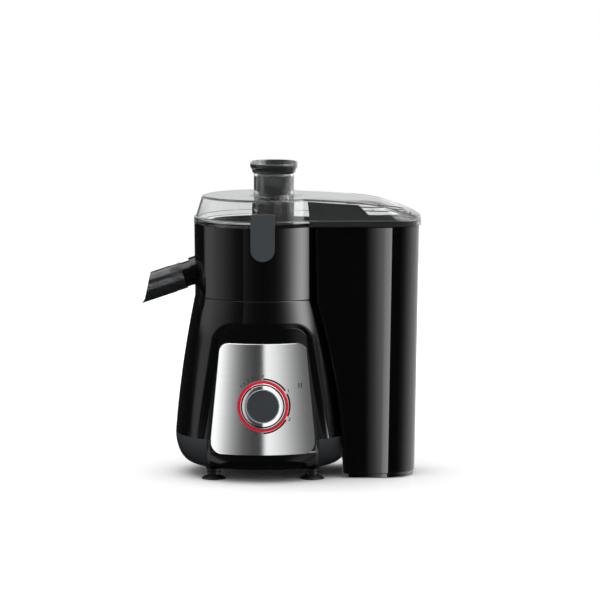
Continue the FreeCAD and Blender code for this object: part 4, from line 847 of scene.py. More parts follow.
# The skirt and the grip, as (radius or x, height, rounding), the skirt's turn and the grip's half width.
SKIRT = ((80.8, 309.0, 0.5), (83.0, 309.0, 0.5), (83.0, 313.9, 0), (84.2, 313.9, 0), (84.2, 316.4, 0.5),
         (80.8, 316.4, 0.5))
SKIRT_FROM, SKIRT_TO = 102, 258
GRIP = ((184.0, 319.6, 0.8), (193.6, 319.6, 0.8), (193.6, 324.4, 1.2), (184.0, 324.4, 1.2))
GRIP_HALF = 16


def slab_reach(turn, end_x, half_depth, corner):
    """Distance from the axis to a plan outline with two round corners, along rays at an angle from +X."""
    c, s = np.cos(turn), np.abs(np.sin(turn))
    to_side = half_depth / np.maximum(s, TINY)
    to_end = end_x / np.maximum(c, TINY)
    cx, cy = end_x - corner, half_depth - corner
    off = cx * s - cy * c
    to_corner = cx * c + cy * s + np.sqrt(np.maximum(corner**2 - off**2, 0))
    reach = np.where((to_side * c > cx) & (to_end * s > cy), to_corner, np.minimum(to_side, to_end))
    return np.where(c > TINY, reach, 0.0)


def joined(first, second, soft):
    """Larger of two distances with a rounded inner corner: a polynomial smooth maximum."""
    h = np.maximum(soft - np.abs(first - second), 0) / soft
    return np.maximum(first, second) + h * h * soft / 4


def hood_top(x):
    """Level of the lid's top: flat, then falling gently towards the hood's end with a soft bend, and at last
    curving down by the square of the way past HOOD_BEND."""
    over = x - HOOD_START
    ramp = np.where(over > HOOD_SOFT, over,
                    np.where(over < -HOOD_SOFT, 0, (over + HOOD_SOFT)**2 / (4 * HOOD_SOFT)))
    past = np.clip((x - HOOD_BEND) / (HOOD_END - HOOD_BEND), 0, HOOD_CURVE_LIMIT)
    return LID_TOP - HOOD_FALL * ramp - HOOD_CURVE * past**2


def band_reach(turn, inset):
    """Plan of the lid's lower band: a disc joined to a slab with round corners."""
    slab = slab_reach(turn, BAND_END - inset, BAND_HALF - inset, HOOD_CORNER - inset)
    return joined(np.full_like(turn, BAND_R - inset), slab, BAND_SOFT)


def wall_reach(turn, z, inset):
    """Plan of the leaning wall at a level: the dome's cone joined to the hood."""
    rise = z - SHOULDER
    dome = WALL_R - rise * DOME_LEAN - inset + 0 * turn
    hood = slab_reach(turn, WALL_END - rise * END_LEAN - inset, WALL_HALF - rise * HOOD_LEAN - inset,
                      HOOD_CORNER - rise * HOOD_LEAN - inset)
    return joined(dome, hood, WALL_SOFT)


def top_level(turn, inset):
    """Level at which the wall meets the sloping top, found by repeated substitution."""
    z = np.full_like(turn, HOOD_END_TOP)
    for _ in range(ROUNDS):
        z = 0.5 * z + 0.5 * (hood_top(wall_reach(turn, z, inset) * np.cos(turn)) - inset)
    return z


def stadium(turn, radius, straight=CHUTE_STRAIGHT):
    """Plan of the chute: two half circles of a radius joined by straights, as distances from its centre."""
    c, s = np.abs(np.cos(turn)), np.abs(np.sin(turn))
    cap = straight * s + np.sqrt(np.maximum(radius**2 - (straight * c)**2, 0))
    return np.where(radius * s <= straight * c, radius / np.maximum(c, TINY), cap)


def loop(turn, reach, z, x=0.0):
    """Points at angles from +X and distances from a centre on the X axis."""
    return np.stack([x + reach * np.cos(turn), reach * np.sin(turn), z + 0 * turn], -1)


def lid_side(turn, inset, fillet):
    """Rows of the lid's side from its lower edge up to the flat of its top, inset for the inner face; the
    upper edge is rounder along the hood."""
    band, shoulder = band_reach(turn, inset), SHOULDER - inset
    foot = shoulder + FOOT_EDGE
    rows = [loop(turn, band, BAND_LOW), loop(turn, band, shoulder - BAND_EDGE)]
    side = bend(band, shoulder, -BAND_EDGE, -BAND_EDGE, 5)[1:]
    side += bend(wall_reach(turn, foot, inset), shoulder, FOOT_EDGE * FOOT_SPREAD, FOOT_EDGE)[::-1]
    rows += [loop(turn, reach, z) for reach, z in side]
    high = top_level(turn, inset)
    growth = blend_in((wall_reach(turn, high, inset) * np.cos(turn) - FILLET_FROM) / FILLET_OVER)
    fillet = np.minimum(fillet * (1 + FILLET_GROWTH * growth), FILLET_LIMIT * (high - foot))
    wall = straight(0.0, foot, high - fillet, 9)[1:] + bend(0.0, high, fillet, -fillet, 6)[1:]
    return rows + [loop(turn, wall_reach(turn, z, inset) - come_in, z) for come_in, z in wall]


def lid_roof(outer, turn, inset):
    """Rows across the sloping top from the side's last row in to the chute, straight in plan."""
    rim = loop(turn, stadium(turn, CHUTE_R + CHUTE_FILLET), 0.0, CHUTE_X)[:, :2]
    rows = []
    for share in np.linspace(0, 1, 12)[1:]:
        plan = outer[:, :2] * (1 - share) + rim * share
        near = blend_in(share / SETTLE)
        level = outer[:, 2] * (1 - near) + (hood_top(plan[:, 0]) - inset) * near
        rows.append(np.column_stack([plan, level]))
    return rows


class JUICER_OT_lid(bpy.types.Operator):
    """Clear lid: rows climb the band, the dome and the hood, cross the sloping top to the chute, run up and
    over the chute's rim, down its bore and back under the top, so one closed skin makes every wall"""
    bl_idname = "juicer.lid"
    bl_label = "Lid"

    def execute(self, context):
        sizes = context.scene.juicer_sizes
        wall, fillet = sizes.lid_wall, sizes.lid_fillet
        half = np.radians(spans(LID_SPANS))
        turn = np.concatenate([half, -half[1:-1][::-1]])
        outer = lid_side(turn, 0.0, fillet)
        inner = lid_side(turn, wall, max(fillet - wall * INNER_LESS, INNER_LEAST))
        under = LID_TOP - wall
        chute = bend(CHUTE_R, LID_TOP, CHUTE_FILLET, CHUTE_FILLET)[::-1][1:]
        chute += straight(CHUTE_R, CHUTE_FROM, CHUTE_TOP - CHUTE_EDGE, 8)
        chute += bend(CHUTE_R, CHUTE_TOP, -CHUTE_EDGE, -CHUTE_EDGE)[1:]
        chute += straight(CHUTE_R - sizes.chute_wall, CHUTE_TOP, CHUTE_LOW, 26)
        chute += straight(CHUTE_R, CHUTE_LOW, under - CHUTE_FILLET, 20)
        chute += bend(CHUTE_R, under, CHUTE_FILLET, -CHUTE_FILLET)[1:-1]
        rows = outer + lid_roof(outer[-1], turn, 0.0)
        rows += [loop(turn, stadium(turn, radius), z, CHUTE_X) for radius, z in chute]
        rows += lid_roof(inner[-1], turn, wall)[::-1] + inner[::-1]
        skin = Surface().grid(np.stack(rows), close_rows=True, close_columns=True)
        self.add_skirt(skin)
        self.add_grip(skin)
        skin.build("lid_shell", clear_plastic(context.scene.juicer_colours), "lid", ["lid"], "clear_plastic")
        return {"FINISHED"}

    def add_skirt(self, skin):
        """Locating ring inside the bowl: a rectangle turned from the front round the left to the back."""
        profile = rounded_profile(SKIRT, 3)
        skin.bar(loop(np.radians(np.linspace(SKIRT_FROM, SKIRT_TO, 110)), profile[:, :1], profile[:, 1:]))

    def add_grip(self, skin):
        """Finger grip under the hood's far end: a low block with rounded edges."""
        side = rounded_profile(GRIP, 3)
        y = np.linspace(-GRIP_HALF, GRIP_HALF, 9)
        skin.bar(np.stack([side[:, :1] + 0 * y, y + 0 * side[:, :1], side[:, 1:] + 0 * y], -1))


DEFLECTOR_INSET, DEFLECTOR_STEP, DEFLECTOR_DEPTH = 3.5, 118.0, 2.0
DEFLECTOR_SIDE = WALL_HALF - DEFLECTOR_INSET
DEFLECTOR_LOW, DEFLECTOR_LEDGE, DEFLECTOR_LEFT, DEFLECTOR_END = 314.4, 328.6, 57.0, -0.117
LEFT_LEAN = 7.6 / 34.0
STEP_RISE, STEP_GAP = 0.78, 0.012
ROOF_GAP, ROOF_SINK, ROOF_SINK_OVER, MIDDLE_LEVEL = 3.5, 0.6, 60.0, 335.0
TALL_COLUMNS, LOW_COLUMNS = 24, 60
# Fins by their first and last levels, with their power, half axes and the angle at which they end; beads.
FINS, FIN_POWER, FIN_IN = ((342.2, 334.6), (338.4, 332.2), (333.6, 330.4)), 1.6, 1.0
FIN_ACROSS, FIN_ALONG, FIN_END, FIN_OVERLAP = 1.0, 0.55, -0.2, 0.004
BEAD_R, BEAD_X, BEAD_LOW, BEAD_TOP = 0.45, 77.0, DEFLECTOR_LOW + 0.5, 342.0


def deflector_wall(turn, z):
    """Points of the deflector's outer face at angles and levels: the hood's wall, drawn in by a gap."""
    return loop(turn, wall_reach(turn, np.maximum(z, SHOULDER), DEFLECTOR_INSET), z)


def drawn_in(points, depth):
    """Points moved level towards the axis."""
    shrink = 1 - depth / np.hypot(points[..., 0], points[..., 1])[..., None]
    return np.concatenate([points[..., :2] * shrink, points[..., 2:]], -1)


class JUICER_OT_deflector(bpy.types.Operator):
    """Pulp deflector: a strip of the hood's inner outline from its leaning left edge round the corner, tall
    at first and low after DEFLECTOR_STEP, with three fins that run on from the tall part and two beads"""
    bl_idname = "juicer.deflector"
    bl_label = "Pulp deflector"

    def execute(self, context):
        low, ledge = DEFLECTOR_LOW, DEFLECTOR_LEDGE
        levels = np.concatenate([np.linspace(low, ledge, 8), np.linspace(ledge, LID_TOP, 12)[1:]])[:, None]
        rise = np.maximum(low + (levels - low) * STEP_RISE - SHOULDER, 0.0)
        step = np.arctan2(HOOD_LEAN * rise - DEFLECTOR_SIDE, DEFLECTOR_STEP)
        begin = np.arctan2(-DEFLECTOR_SIDE, DEFLECTOR_LEFT + LEFT_LEAN * (levels - BAND_LOW))
        turn = np.hstack([begin + np.linspace(0, 1, TALL_COLUMNS) * (step - begin),
                          step + STEP_GAP + np.linspace(0, 1, LOW_COLUMNS) * (DEFLECTOR_END - step)])
        x = wall_reach(turn, MIDDLE_LEVEL + 0 * turn, DEFLECTOR_INSET) * np.cos(turn)
        roof = hood_top(x) - ROOF_GAP - ROOF_SINK * blend_in((x - HOOD_START) / ROOF_SINK_OVER)
        roof = np.where(np.arange(turn.shape[1]) < TALL_COLUMNS, roof, ledge)
        outer = deflector_wall(turn, low + (levels - low) * (roof - low) / (LID_TOP - low))
        inner = drawn_in(outer, DEFLECTOR_DEPTH)
        skin = Surface().grid(np.concatenate([outer, inner[::-1]]), close_rows=True)
        for end in (0, -1):
            skin.grid(np.stack([outer[:, end], inner[:, end]]))
        step_foot = math.atan2(-DEFLECTOR_SIDE, DEFLECTOR_STEP)
        ahead, run = np.linspace(step_foot - FIN_OVERLAP, FIN_END, 60), np.linspace(0, 1, 60)
        for start, end in FINS:
            fin = drawn_in(deflector_wall(ahead, start + (end - start) * run**FIN_POWER), FIN_IN)
            rod(skin, fin, FIN_ACROSS, FIN_ALONG)
        bead_turn = math.atan2(-DEFLECTOR_SIDE, BEAD_X)
        upright = deflector_wall(np.full(20, bead_turn), np.linspace(BEAD_LOW, BEAD_TOP, 20))
        rod(skin, upright, BEAD_R, BEAD_R, (0.0, -1.0, 0.0))
        rod(skin, deflector_wall(np.linspace(bead_turn, step_foot, 30), np.full(30, ledge)), BEAD_R, BEAD_R)
        skin.build("deflector_shell", moulded("deflector_plastic", (0.026, 0.028, 0.029), 0.10), "bowl",
                   ["pulp_deflector"], "gloss_black")
        return {"FINISHED"}


PUSHER_R, PUSHER_LOW, CENTRE_R = 21.8, 260.0, 1e-3
# The pusher's flared rim, as (radius, height, rounding).
PUSHER_RIM = ((PUSHER_R, 377.1, 0.4), (26.5, 377.1, 0.8), (27.6, 381.4, 0.6), (29.5, 384.2, 0.8),
              (29.5, 389.0, 0.9), (27.1, 389.0, 0.9), (24.4, 380.0, 2.0))
PUSHER_BORE_TOP = 379.0


class JUICER_OT_pusher(bpy.types.Operator):
    """Food pusher: stadium rows from the centre of its foot, up the body, over the flared rim, down inside"""
    bl_idname = "juicer.pusher"
    bl_label = "Pusher"

    def execute(self, context):
        wall = context.scene.juicer_sizes.pusher_wall
        turn = np.radians(np.linspace(0, 360, 160, endpoint=False))
        bore = PUSHER_R - wall
        profile = rounded_profile([
            (0, PUSHER_LOW, 0), (PUSHER_R, PUSHER_LOW, 1.6), *PUSHER_RIM, (bore, PUSHER_BORE_TOP, 1.5),
            (bore, PUSHER_LOW + wall, 1.5), (0, PUSHER_LOW + wall, 0)])
        rows = [loop(turn, stadium(turn, max(r, CENTRE_R), CHUTE_STRAIGHT * min(1.0, r / bore)), z, CHUTE_X)
                for r, z in profile]
        Surface().grid(np.stack(rows), close_columns=True).build(
            "pusher_shell", smoke_black("pusher_plastic", 0.09), "pusher", ["pusher"], "smoke_black")
        return {"FINISHED"}


# ---------------------------------------------------------------- bowl, spout, latches
class JUICER_OT_bowl(bpy.types.Operator):
    """Juice bowl, its pins and seal take their finishes"""
    bl_idname = "juicer.bowl"
    bl_label = "Juice bowl"

    def execute(self, context):
        give(gloss_black(context.scene.juicer_colours), "juice_bowl", "pulp_sill")
        give(metal("pin_steel", (0.6, 0.6, 0.6), 0.25), "latch_pins")
        give(rubber("seal_rubber"), "nozzle_oring", "shaft_seal")
        return {"FINISHED"}


SPOUT_TILT = math.radians(18.5)
SPOUT_ROOT = (-85.0, 0.0, HOUSING_TOP + 28.3)
SPOUT_R, SPOUT_BORE, SPOUT_SEAT = 17.2, 14.6, 15.8
SPOUT_START, SPOUT_TOP, SPOUT_TIP = 14.7, 53.3, 76.0
SPOUT_EDGE, SPOUT_LIP = 0.6, 0.5
SEAT_START, SEAT_END = SPOUT_START + 0.3, 36.3
GRIP_END, GROOVE_PITCH, GROOVES = SPOUT_START + 14.6, 2.6, 5
GROOVE = ((-1.1, 0.0), (-0.8, 0.12), (-0.45, 0.5), (0.0, 0.65), (0.45, 0.5), (0.8, 0.12), (1.1, 0.0))
BEAK, BEAK_FROM = 2.6, 0.90
MOUTH_SLOPE = (SPOUT_TIP - 2.9 - SPOUT_TOP) / (2 * SPOUT_R)


def along_spout(turn, radius, reach):
    """Points at a radius from the nozzle's axis and a reach along it; angle 0 is the upper side."""
    c, s = math.cos(SPOUT_TILT), math.sin(SPOUT_TILT)
    up = radius * np.cos(turn)
    return np.stack([-reach * c - up * s, radius * np.sin(turn), -reach * s + up * c], -1) + SPOUT_ROOT


def spout_mouth(turn, radius):
    """Reach of the slanted mouth at an angle: a plane that leans out below, drawn out to a small beak."""
    beak = BEAK * blend_in((-np.cos(turn) - BEAK_FROM) / (1 - BEAK_FROM))
    return SPOUT_TOP + (SPOUT_R - radius * np.cos(turn)) * MOUTH_SLOPE + beak


class JUICER_OT_spout(bpy.types.Operator):
    """Turning spout: circles along the nozzle's axis over the ribbed grip to the slanted mouth and back in"""
    bl_idname = "juicer.spout"
    bl_label = "Spout"

    def execute(self, context):
        turn = np.linspace(0, 2 * math.pi, 120, endpoint=False)
        outer, inner = spout_mouth(turn, SPOUT_R), spout_mouth(turn, SPOUT_BORE)
        rings = bend(SPOUT_R, SPOUT_START, -SPOUT_EDGE, SPOUT_EDGE)[::-1]
        rings += [(SPOUT_R - depth, SPOUT_START + GROOVE_PITCH * number + place)
                  for number in range(1, GROOVES + 1) for place, depth in GROOVE]
        rings += straight(SPOUT_R, GRIP_END, outer - SPOUT_LIP, 14)
        rings += bend(SPOUT_R, outer, -SPOUT_LIP, -SPOUT_LIP)[1:]
        rings += bend(SPOUT_BORE, inner, SPOUT_LIP, -SPOUT_LIP)[::-1]
        rings += straight(SPOUT_BORE, inner - SPOUT_LIP, SEAT_END, 12)[1:]
        rings += straight(SPOUT_SEAT, SEAT_END, SEAT_START, 6)
        rows = [along_spout(turn, radius, reach) for radius, reach in rings]
        Surface().grid(np.stack(rows), close_rows=True, close_columns=True).build(
            "spout_shell", smoke_black("spout_plastic", 0.11), "spout", ["spout"], "smoke_black")
        return {"FINISHED"}


class JUICER_OT_latches(bpy.types.Operator):
    """Latches take their finish"""
    bl_idname = "juicer.latches"
    bl_label = "Latches"

    def execute(self, context):
        latch = moulded("latch_plastic", context.scene.juicer_colours.latch, 0.42, 0.06)
        give(latch, "front_latch", "rear_latch")
        return {"FINISHED"}


# ---------------------------------------------------------------- pulp container
CONTAINER_TOP, CONTAINER_FLOOR, CONTAINER_FOOT = 313.7, 5.0, 0.5
CONTAINER_HALF, CONTAINER_END, CONTAINER_TAPER, CONTAINER_CORNER = 61.0, 189.0, 5.0, 41.0
CONTAINER_GAP, CONTAINER_NEAR = 4.0, 86.0
CONTAINER_CENTRE = (132.0, 0.0)
FOOT_OUT, FOOT_IN, FOOT_SOFT, FLOOR_SOFT, RIM_EDGE = 5.0, 8.0, 1.8, 3.0, 0.7
WINDOW_HALF, WINDOW_LOW, WINDOW_FROM = 53.0, 299.0, 296
SIDE_FROM, SIDE_TO = CONTAINER_FLOOR + 2.5, CONTAINER_TOP - 2.0
# Sizes of the plans across the foot and the floor, as shares of the outermost.
FOOT_SHARES, FLOOR_SHARES = (0.0, 0.35, 0.75), (0.7, 0.35, 0.0)


def container_loop(z, inset, corner_left):
    """Plan of the container at a level, anticlockwise from the left front corner: a straight front, a round
    corner, the end, the second corner, the back, and an arc about the drive axis that leaves a gap to the
    housing, with both left corners rounded by a quadratic curve. With it comes the arc's first place."""
    taper = CONTAINER_TAPER * (z - CONTAINER_FLOOR) / (CONTAINER_TOP - CONTAINER_FLOOR) - inset
    half, end_x, corner = CONTAINER_HALF + taper, CONTAINER_END + taper, CONTAINER_CORNER - inset
    near = max(float(body_radius(max(z, PARTING))), CONTAINER_NEAR) + CONTAINER_GAP + inset
    cut_x = math.sqrt(near**2 - half**2)
    cut_turn = math.atan2(half, cut_x)
    soft = max(corner_left - inset, 2.0)
    swing = cut_turn - soft / near
    onto = near * np.array([math.cos(swing), -math.sin(swing)])
    t = np.linspace(0, 1, 9)[:, None]
    apex, start = np.array([(cut_x, -half), (cut_x + soft, -half)])
    first = onto * (1 - t)**2 + 2 * apex * t * (1 - t) + start * t**2
    front = np.linspace(start, (end_x - corner, -half), 26)[1:-1]
    turn = np.linspace(-math.pi / 2, 0, 22)
    bow = np.array([end_x - corner, corner - half]) + corner * np.column_stack([np.cos(turn), np.sin(turn)])
    end = np.linspace((end_x, corner - half), (end_x, half - corner), 10)[1:-1]
    right = np.concatenate([first, front, bow, end])
    mirrored = right[::-1][len(end):] * [1, -1]
    left_turn = np.linspace(swing, -swing, 60)[1:-1]
    arc = near * np.column_stack([np.cos(left_turn), np.sin(left_turn)])
    return np.concatenate([right, mirrored, arc]), len(right) + len(mirrored)


class JUICER_OT_container(bpy.types.Operator):
    """Pulp container: plan outlines stacked from the centre of its foot up the tapered side, over the rim and
    down inside, with the rim lowered where the pulp window is"""
    bl_idname = "juicer.container"
    bl_label = "Pulp container"

    def execute(self, context):
        sizes = context.scene.juicer_sizes
        wall, floor = sizes.container_wall, CONTAINER_FLOOR + sizes.container_wall
        side = [(FOOT_IN, CONTAINER_FLOOR), (FOOT_IN, CONTAINER_FOOT), (FOOT_OUT, CONTAINER_FOOT),
                (FOOT_OUT, CONTAINER_FLOOR)]
        side += bend(0.0, CONTAINER_FLOOR, FOOT_SOFT, FOOT_SOFT, 5)[::-1]
        side += straight(0.0, SIDE_FROM, SIDE_TO, 56)
        side += bend(0.0, CONTAINER_TOP, RIM_EDGE, -RIM_EDGE, 5)
        side += bend(wall, CONTAINER_TOP, -RIM_EDGE, -RIM_EDGE, 5)[::-1]
        side += straight(wall, SIDE_TO, floor + FLOOR_SOFT, 40)
        side += bend(wall, floor, FLOOR_SOFT, FLOOR_SOFT, 5)
        levels = [(*side[0], shrink) for shrink in FOOT_SHARES] + [(*pair, 1.0) for pair in side]
        levels += [(*side[-1], shrink) for shrink in FLOOR_SHARES]
        rows = []
        for inset, z, shrink in levels:
            plan, arc_from = container_loop(z, inset, sizes.container_corner)
            window = (np.arange(len(plan)) >= arc_from) & (np.abs(plan[:, 1]) < WINDOW_HALF)
            height = np.where(window & (z > WINDOW_FROM), min(z, WINDOW_LOW - (CONTAINER_TOP - z)), z)
            rows.append(np.column_stack([CONTAINER_CENTRE + (plan - CONTAINER_CENTRE) * shrink, height]))
        Surface().grid(np.stack(rows), close_columns=True).build(
            "container_shell", gloss_black(context.scene.juicer_colours), "container", ["pulp_container"],
            "gloss_black")
        return {"FINISHED"}


# ---------------------------------------------------------------- basket and inner works
class JUICER_OT_basket(bpy.types.Operator):
    """Sieve basket, its rim and the grating disc take their finishes"""
    bl_idname = "juicer.basket"
    bl_label = "Basket"

    def execute(self, context):
        give(sieve_steel(context.scene.juicer_sizes), "filter_mesh")
        give(metal("grating_steel", (0.62, 0.63, 0.64), 0.22), "grating_disc")
        give(moulded("basket_plastic", (0.10, 0.105, 0.11), 0.3), "basket_rim", "basket_hub")
        give(moulded("coupling_plastic", (0.02, 0.02, 0.022), 0.35), "drive_coupling")
        return {"FINISHED"}


class JUICER_OT_inner_works(bpy.types.Operator):
    """Motor, switch and board take their finishes"""
    bl_idname = "juicer.inner_works"
    bl_label = "Inner works"

    def execute(self, context):
        give(layered("laminations", (0.20, 0.21, 0.22), (0.08, 0.085, 0.09), 0.0005, 0.4),
             "motor_stator", "rotor_core")
        give(layered("enamelled_copper", (0.62, 0.25, 0.10), (0.28, 0.10, 0.04), 0.0006, 0.3),
             "field_coils", "rotor_windings")
        give(wear("commutator_copper", (0.70, 0.34, 0.18), (0.85, 0.48, 0.28), 300.0, 0.25, 1.0),
             "commutator")
        give(wear("die_cast_alloy", (0.42, 0.43, 0.44), (0.55, 0.56, 0.57), 120.0, 0.45, 1.0, 0.15),
             "lower_bracket", "upper_bracket")
        give(metal("ground_steel", (0.62, 0.62, 0.63), 0.2), "motor_shaft", "lower_bearing", "upper_bearing",
             "switch_shaft", "switch_nut", "brush_springs")
        give(moulded("holder_plastic", (0.03, 0.028, 0.025), 0.5), "brush_holders", "switch_body")
        give(wear("carbon", (0.018, 0.018, 0.019), (0.035, 0.035, 0.036), 500.0, 0.6), "carbon_brushes")
        give(rubber("damper_rubber"), "motor_dampers")
        give(moulded("fan_plastic", (0.05, 0.05, 0.052), 0.45), "cooling_fan")
        give(wear("board_lacquer", (0.02, 0.12, 0.05), (0.03, 0.17, 0.07), 220.0, 0.35), "control_board")
        return {"FINISHED"}


# ---------------------------------------------------------------- stage
# Tables of light by the angle round the piece in degrees, the spout's above the bowl's level, the card's by
# shares of its width.
GLOSS_BANDS = ((-180, 0.0), (-119, 0.0), (-112, 0.70), (-100, 0.90), (-92, 0.86), (-75, 0.62), (-60, 0.32),
               (-47, 0.10), (-36, 0.04), (-33.5, 0.04), (-32.5, 0.22), (-24, 0.10), (-10, 0.03), (6, 0.02),
               (20, 0.06), (30, 0.25), (36, 0.62), (44, 1.6), (52, 3.6), (60, 6.0), (67, 7.2), (74, 6.2),
               (80, 3.9), (85, 1.5), (90, 0.3), (97, 0.1), (120, 0.05), (150, 0.35), (165, 0.6), (180, 0.0))
FLANK_BANDS = ((-180, 0.0), (-118, 0.0), (-112, 0.05), (-106, 0.45), (-100, 0.60), (-86, 0.66), (-80, 0.20),
               (-72, 0.05), (-45, 0.02), (35, 0.02), (44, 0.075), (54, 0.26), (65, 0.40), (77, 0.40),
               (82, 0.15), (90, 0.25), (98, 0.27), (110, 0.20), (130, 0.10), (180, 0.0))
STEEL_BANDS = ((-180, 0.5), (-110, 0.8), (-80, 1.25), (-67, 1.15), (-52, 0.58), (-43, 0.34), (-34, 0.18),
               (-26, 0.09), (-10, 0.025), (-1, 0.02), (3, 1.05), (8, 1.02), (22, 0.78), (30, 0.62),
               (39, 0.44), (48, 0.30), (57, 0.19), (66, 0.12), (90, 0.10), (140, 0.4), (180, 0.5))
RING_BANDS = ((-180, 0.60), (-42, 0.60), (-39, 0.45), (-36, 0.25), (-31, 0.08), (-20, 0.03), (-1, 0.035),
              (1, 1.1), (34, 1.1), (42, 0.8), (180, 0.8))
CONTAINER_BANDS = ((-180, 0.8), (-120, 0.7), (-90, 0.3), (-40, 0.03), (0, 0.0), (52, 0.0), (68, 0.15),
                   (86, 0.75), (107, 1.4), (136, 1.3), (180, 0.8))
TUBE_BANDS = ((-180, 0.5), (-140, 0.05), (-100, 0.05), (-88, 0.5), (-77, 1.5), (-68, 1.5), (-60, 0.6),
              (-48, 0.35), (-36, 0.25), (0, 0.17), (36, 0.13), (60, 0.25), (75, 0.5), (100, 1.3), (125, 2.0),
              (150, 1.6), (180, 0.5))
LID_BANDS = ((-180, 0.85), (-150, 0.8), (-110, 2.5), (-80, 1.6), (-60, 0.8), (0, 0.5), (45, 1.0), (60, 4.5),
             (90, 8.0), (115, 5.0), (150, 1.0), (180, 0.85))
SPOUT_BANDS = ((-90, 0.0), (-30, 0.0), (-24, 0.7), (-14, 1.7), (0, 2.1), (9, 2.1), (17, 1.5), (24, 0.25),
               (34, 0.04), (44, 0.3), (58, 1.3), (90, 1.3))
CARD_BANDS = ((0.0, 0.0), (0.038, 0.28), (0.085, 0.69), (0.122, 1.37), (0.168, 2.2), (0.286, 3.9),
              (0.85, 5.6), (1.0, 5.8))
BOWL_LEVEL = 0.25
# In metres: the tops' light starts at half_cosine * TOPS_SWING - TOPS_DROP, the bowl's lies between two
# levels below zero, the lid's starts at LID_FROM; and how fast they come in, per metre.
TOPS_SWING, TOPS_DROP, TOPS_RISE = 2.95, 0.81, 5.0
STRIP_TOP_BELOW, STRIP_FOOT_BELOW, STRIP_RISE = 0.55, 1.75, 7.0
LID_FROM, LID_RISE = 0.6, 4.0
WALL_FOOT, WALL_HEAD, WALL_COLUMNS = -14.0, 26.0, 145
# The card before the container's front: its ends in x, its distance, and its foot and head.
CARD_START, CARD_END, CARD_DISTANCE, CARD_FOOT, CARD_HEAD = 0.1315, 0.2525, 0.066 + 0.25, -0.4, 0.5
WHITE, BLACK = (1.0, 1.0, 1.0), (0.0, 0.0, 0.0)
FLOOR_HALF, GLOW_FROM, GLOW_RISE, FLOOR_GLOW = 2.4, 0.5, 1.4, 0.4
SHEEN, SHEEN_ROUGHNESS = 0.11, 0.12
MATT_LIGHT, MIRROR_LIGHT = 0.80, 0.02
LAMP_SIZE, LAMP_POWER, LAMP_PLACE = 3.2, 66.0, (0.0, 0.2, 2.4)
AIM_X, AIM_Z, SENSOR, VIEW_END = 0.0459, 0.216, 36.0, 100.0


def banded(nodes, bands, measure, peak):
    """Grey that follows a table of (measure, light), as shares of a peak."""
    return nodes.ramp(measure, [(place, level / peak) for place, level in bands])


def by_azimuth(bands):
    """Paint from a table over the angle from the front, in degrees, positive to the right."""
    def paint(nodes, peak):
        x, y, z = nodes.place()
        return banded(nodes, [(angle / 360 + 0.5, level) for angle, level in bands],
                      x.angle_to(y * -1.0) / (2 * math.pi) + 0.5, peak)
    return paint


def by_height(bands):
    """Paint from a table over the angle above the level of the bowl, in degrees."""
    def paint(nodes, peak):
        x, y, z = nodes.place()
        return banded(nodes, [(angle / 180 + 0.5, level) for angle, level in bands],
                      (z - BOWL_LEVEL).angle_to((x * x + y * y).root()) / math.pi + 0.5, peak)
    return paint


def gloss_light(nodes, peak):
    """The flanks' light, and the stronger light of the tops and the bowl: above a level that falls with the
    cosine of half the angle from the front, and in a low strip."""
    x, y, z = nodes.place()
    half_cosine = ((1.0 - y / (x * x + y * y).root()) * 0.5).root()
    tops = nodes.clamp((z - (half_cosine * TOPS_SWING - TOPS_DROP)) * TOPS_RISE + 0.5)
    under_top = nodes.clamp((z + STRIP_TOP_BELOW) * -STRIP_RISE + 0.5)
    bowl = under_top * nodes.clamp((z + STRIP_FOOT_BELOW) * STRIP_RISE + 0.5)
    return nodes.mix(nodes.clamp(tops + bowl), by_azimuth(FLANK_BANDS)(nodes, peak),
                     by_azimuth(GLOSS_BANDS)(nodes, peak))


def lid_light(nodes, peak):
    """The tube's light below the bowl's level and the lid's above it."""
    x, y, z = nodes.place()
    return nodes.mix(nodes.clamp((z - LID_FROM) * LID_RISE + 0.5), by_azimuth(TUBE_BANDS)(nodes, peak),
                     by_azimuth(LID_BANDS)(nodes, peak))


def card_light(nodes, peak):
    """Light that follows x across the card."""
    x, y, z = nodes.place()
    return banded(nodes, CARD_BANDS, (x - CARD_START) / (CARD_END - CARD_START), peak)


def glow(name, paint, *tables):
    """See-through finish that adds light: paint gives its strength as a share of the tables' peak."""
    material = bpy.data.materials.new(name)
    nodes = Nodes(material)
    peak = max(level for table in tables for _, level in table)
    lamp = nodes.add("ShaderNodeEmission", {"Color": paint(nodes, peak), "Strength": peak})
    nodes.surface(nodes.add("ShaderNodeAddShader", (lamp, nodes.add("ShaderNodeBsdfTransparent"))))
    material.cycles.emission_sampling = "NONE"
    return material


def reflector(name, points, finish, pieces):
    """A sheet of light from rows of points in metres, seen only in the gloss of the pieces it is linked to,
    which are given by their names or their frame nodes' names."""
    found = [o for o in bpy.data.objects
             if o.type == "MESH" and (o.get("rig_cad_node") in pieces or o.name in pieces)]
    if not found:
        raise RuntimeError("no piece to light among " + ", ".join(pieces))
    index = np.arange(points[..., 0].size).reshape(points.shape[:2])
    sheet = add_object(name, plain_mesh(name, points.reshape(-1, 3), cells(index), finish))
    sheet.visible_camera = sheet.visible_diffuse = sheet.visible_transmission = sheet.visible_shadow = False
    sheet.visible_volume_scatter = False
    group = bpy.data.collections.new(name + "_reach")
    for piece in found:
        group.objects.link(piece)
    sheet.light_linking.receiver_collection = group


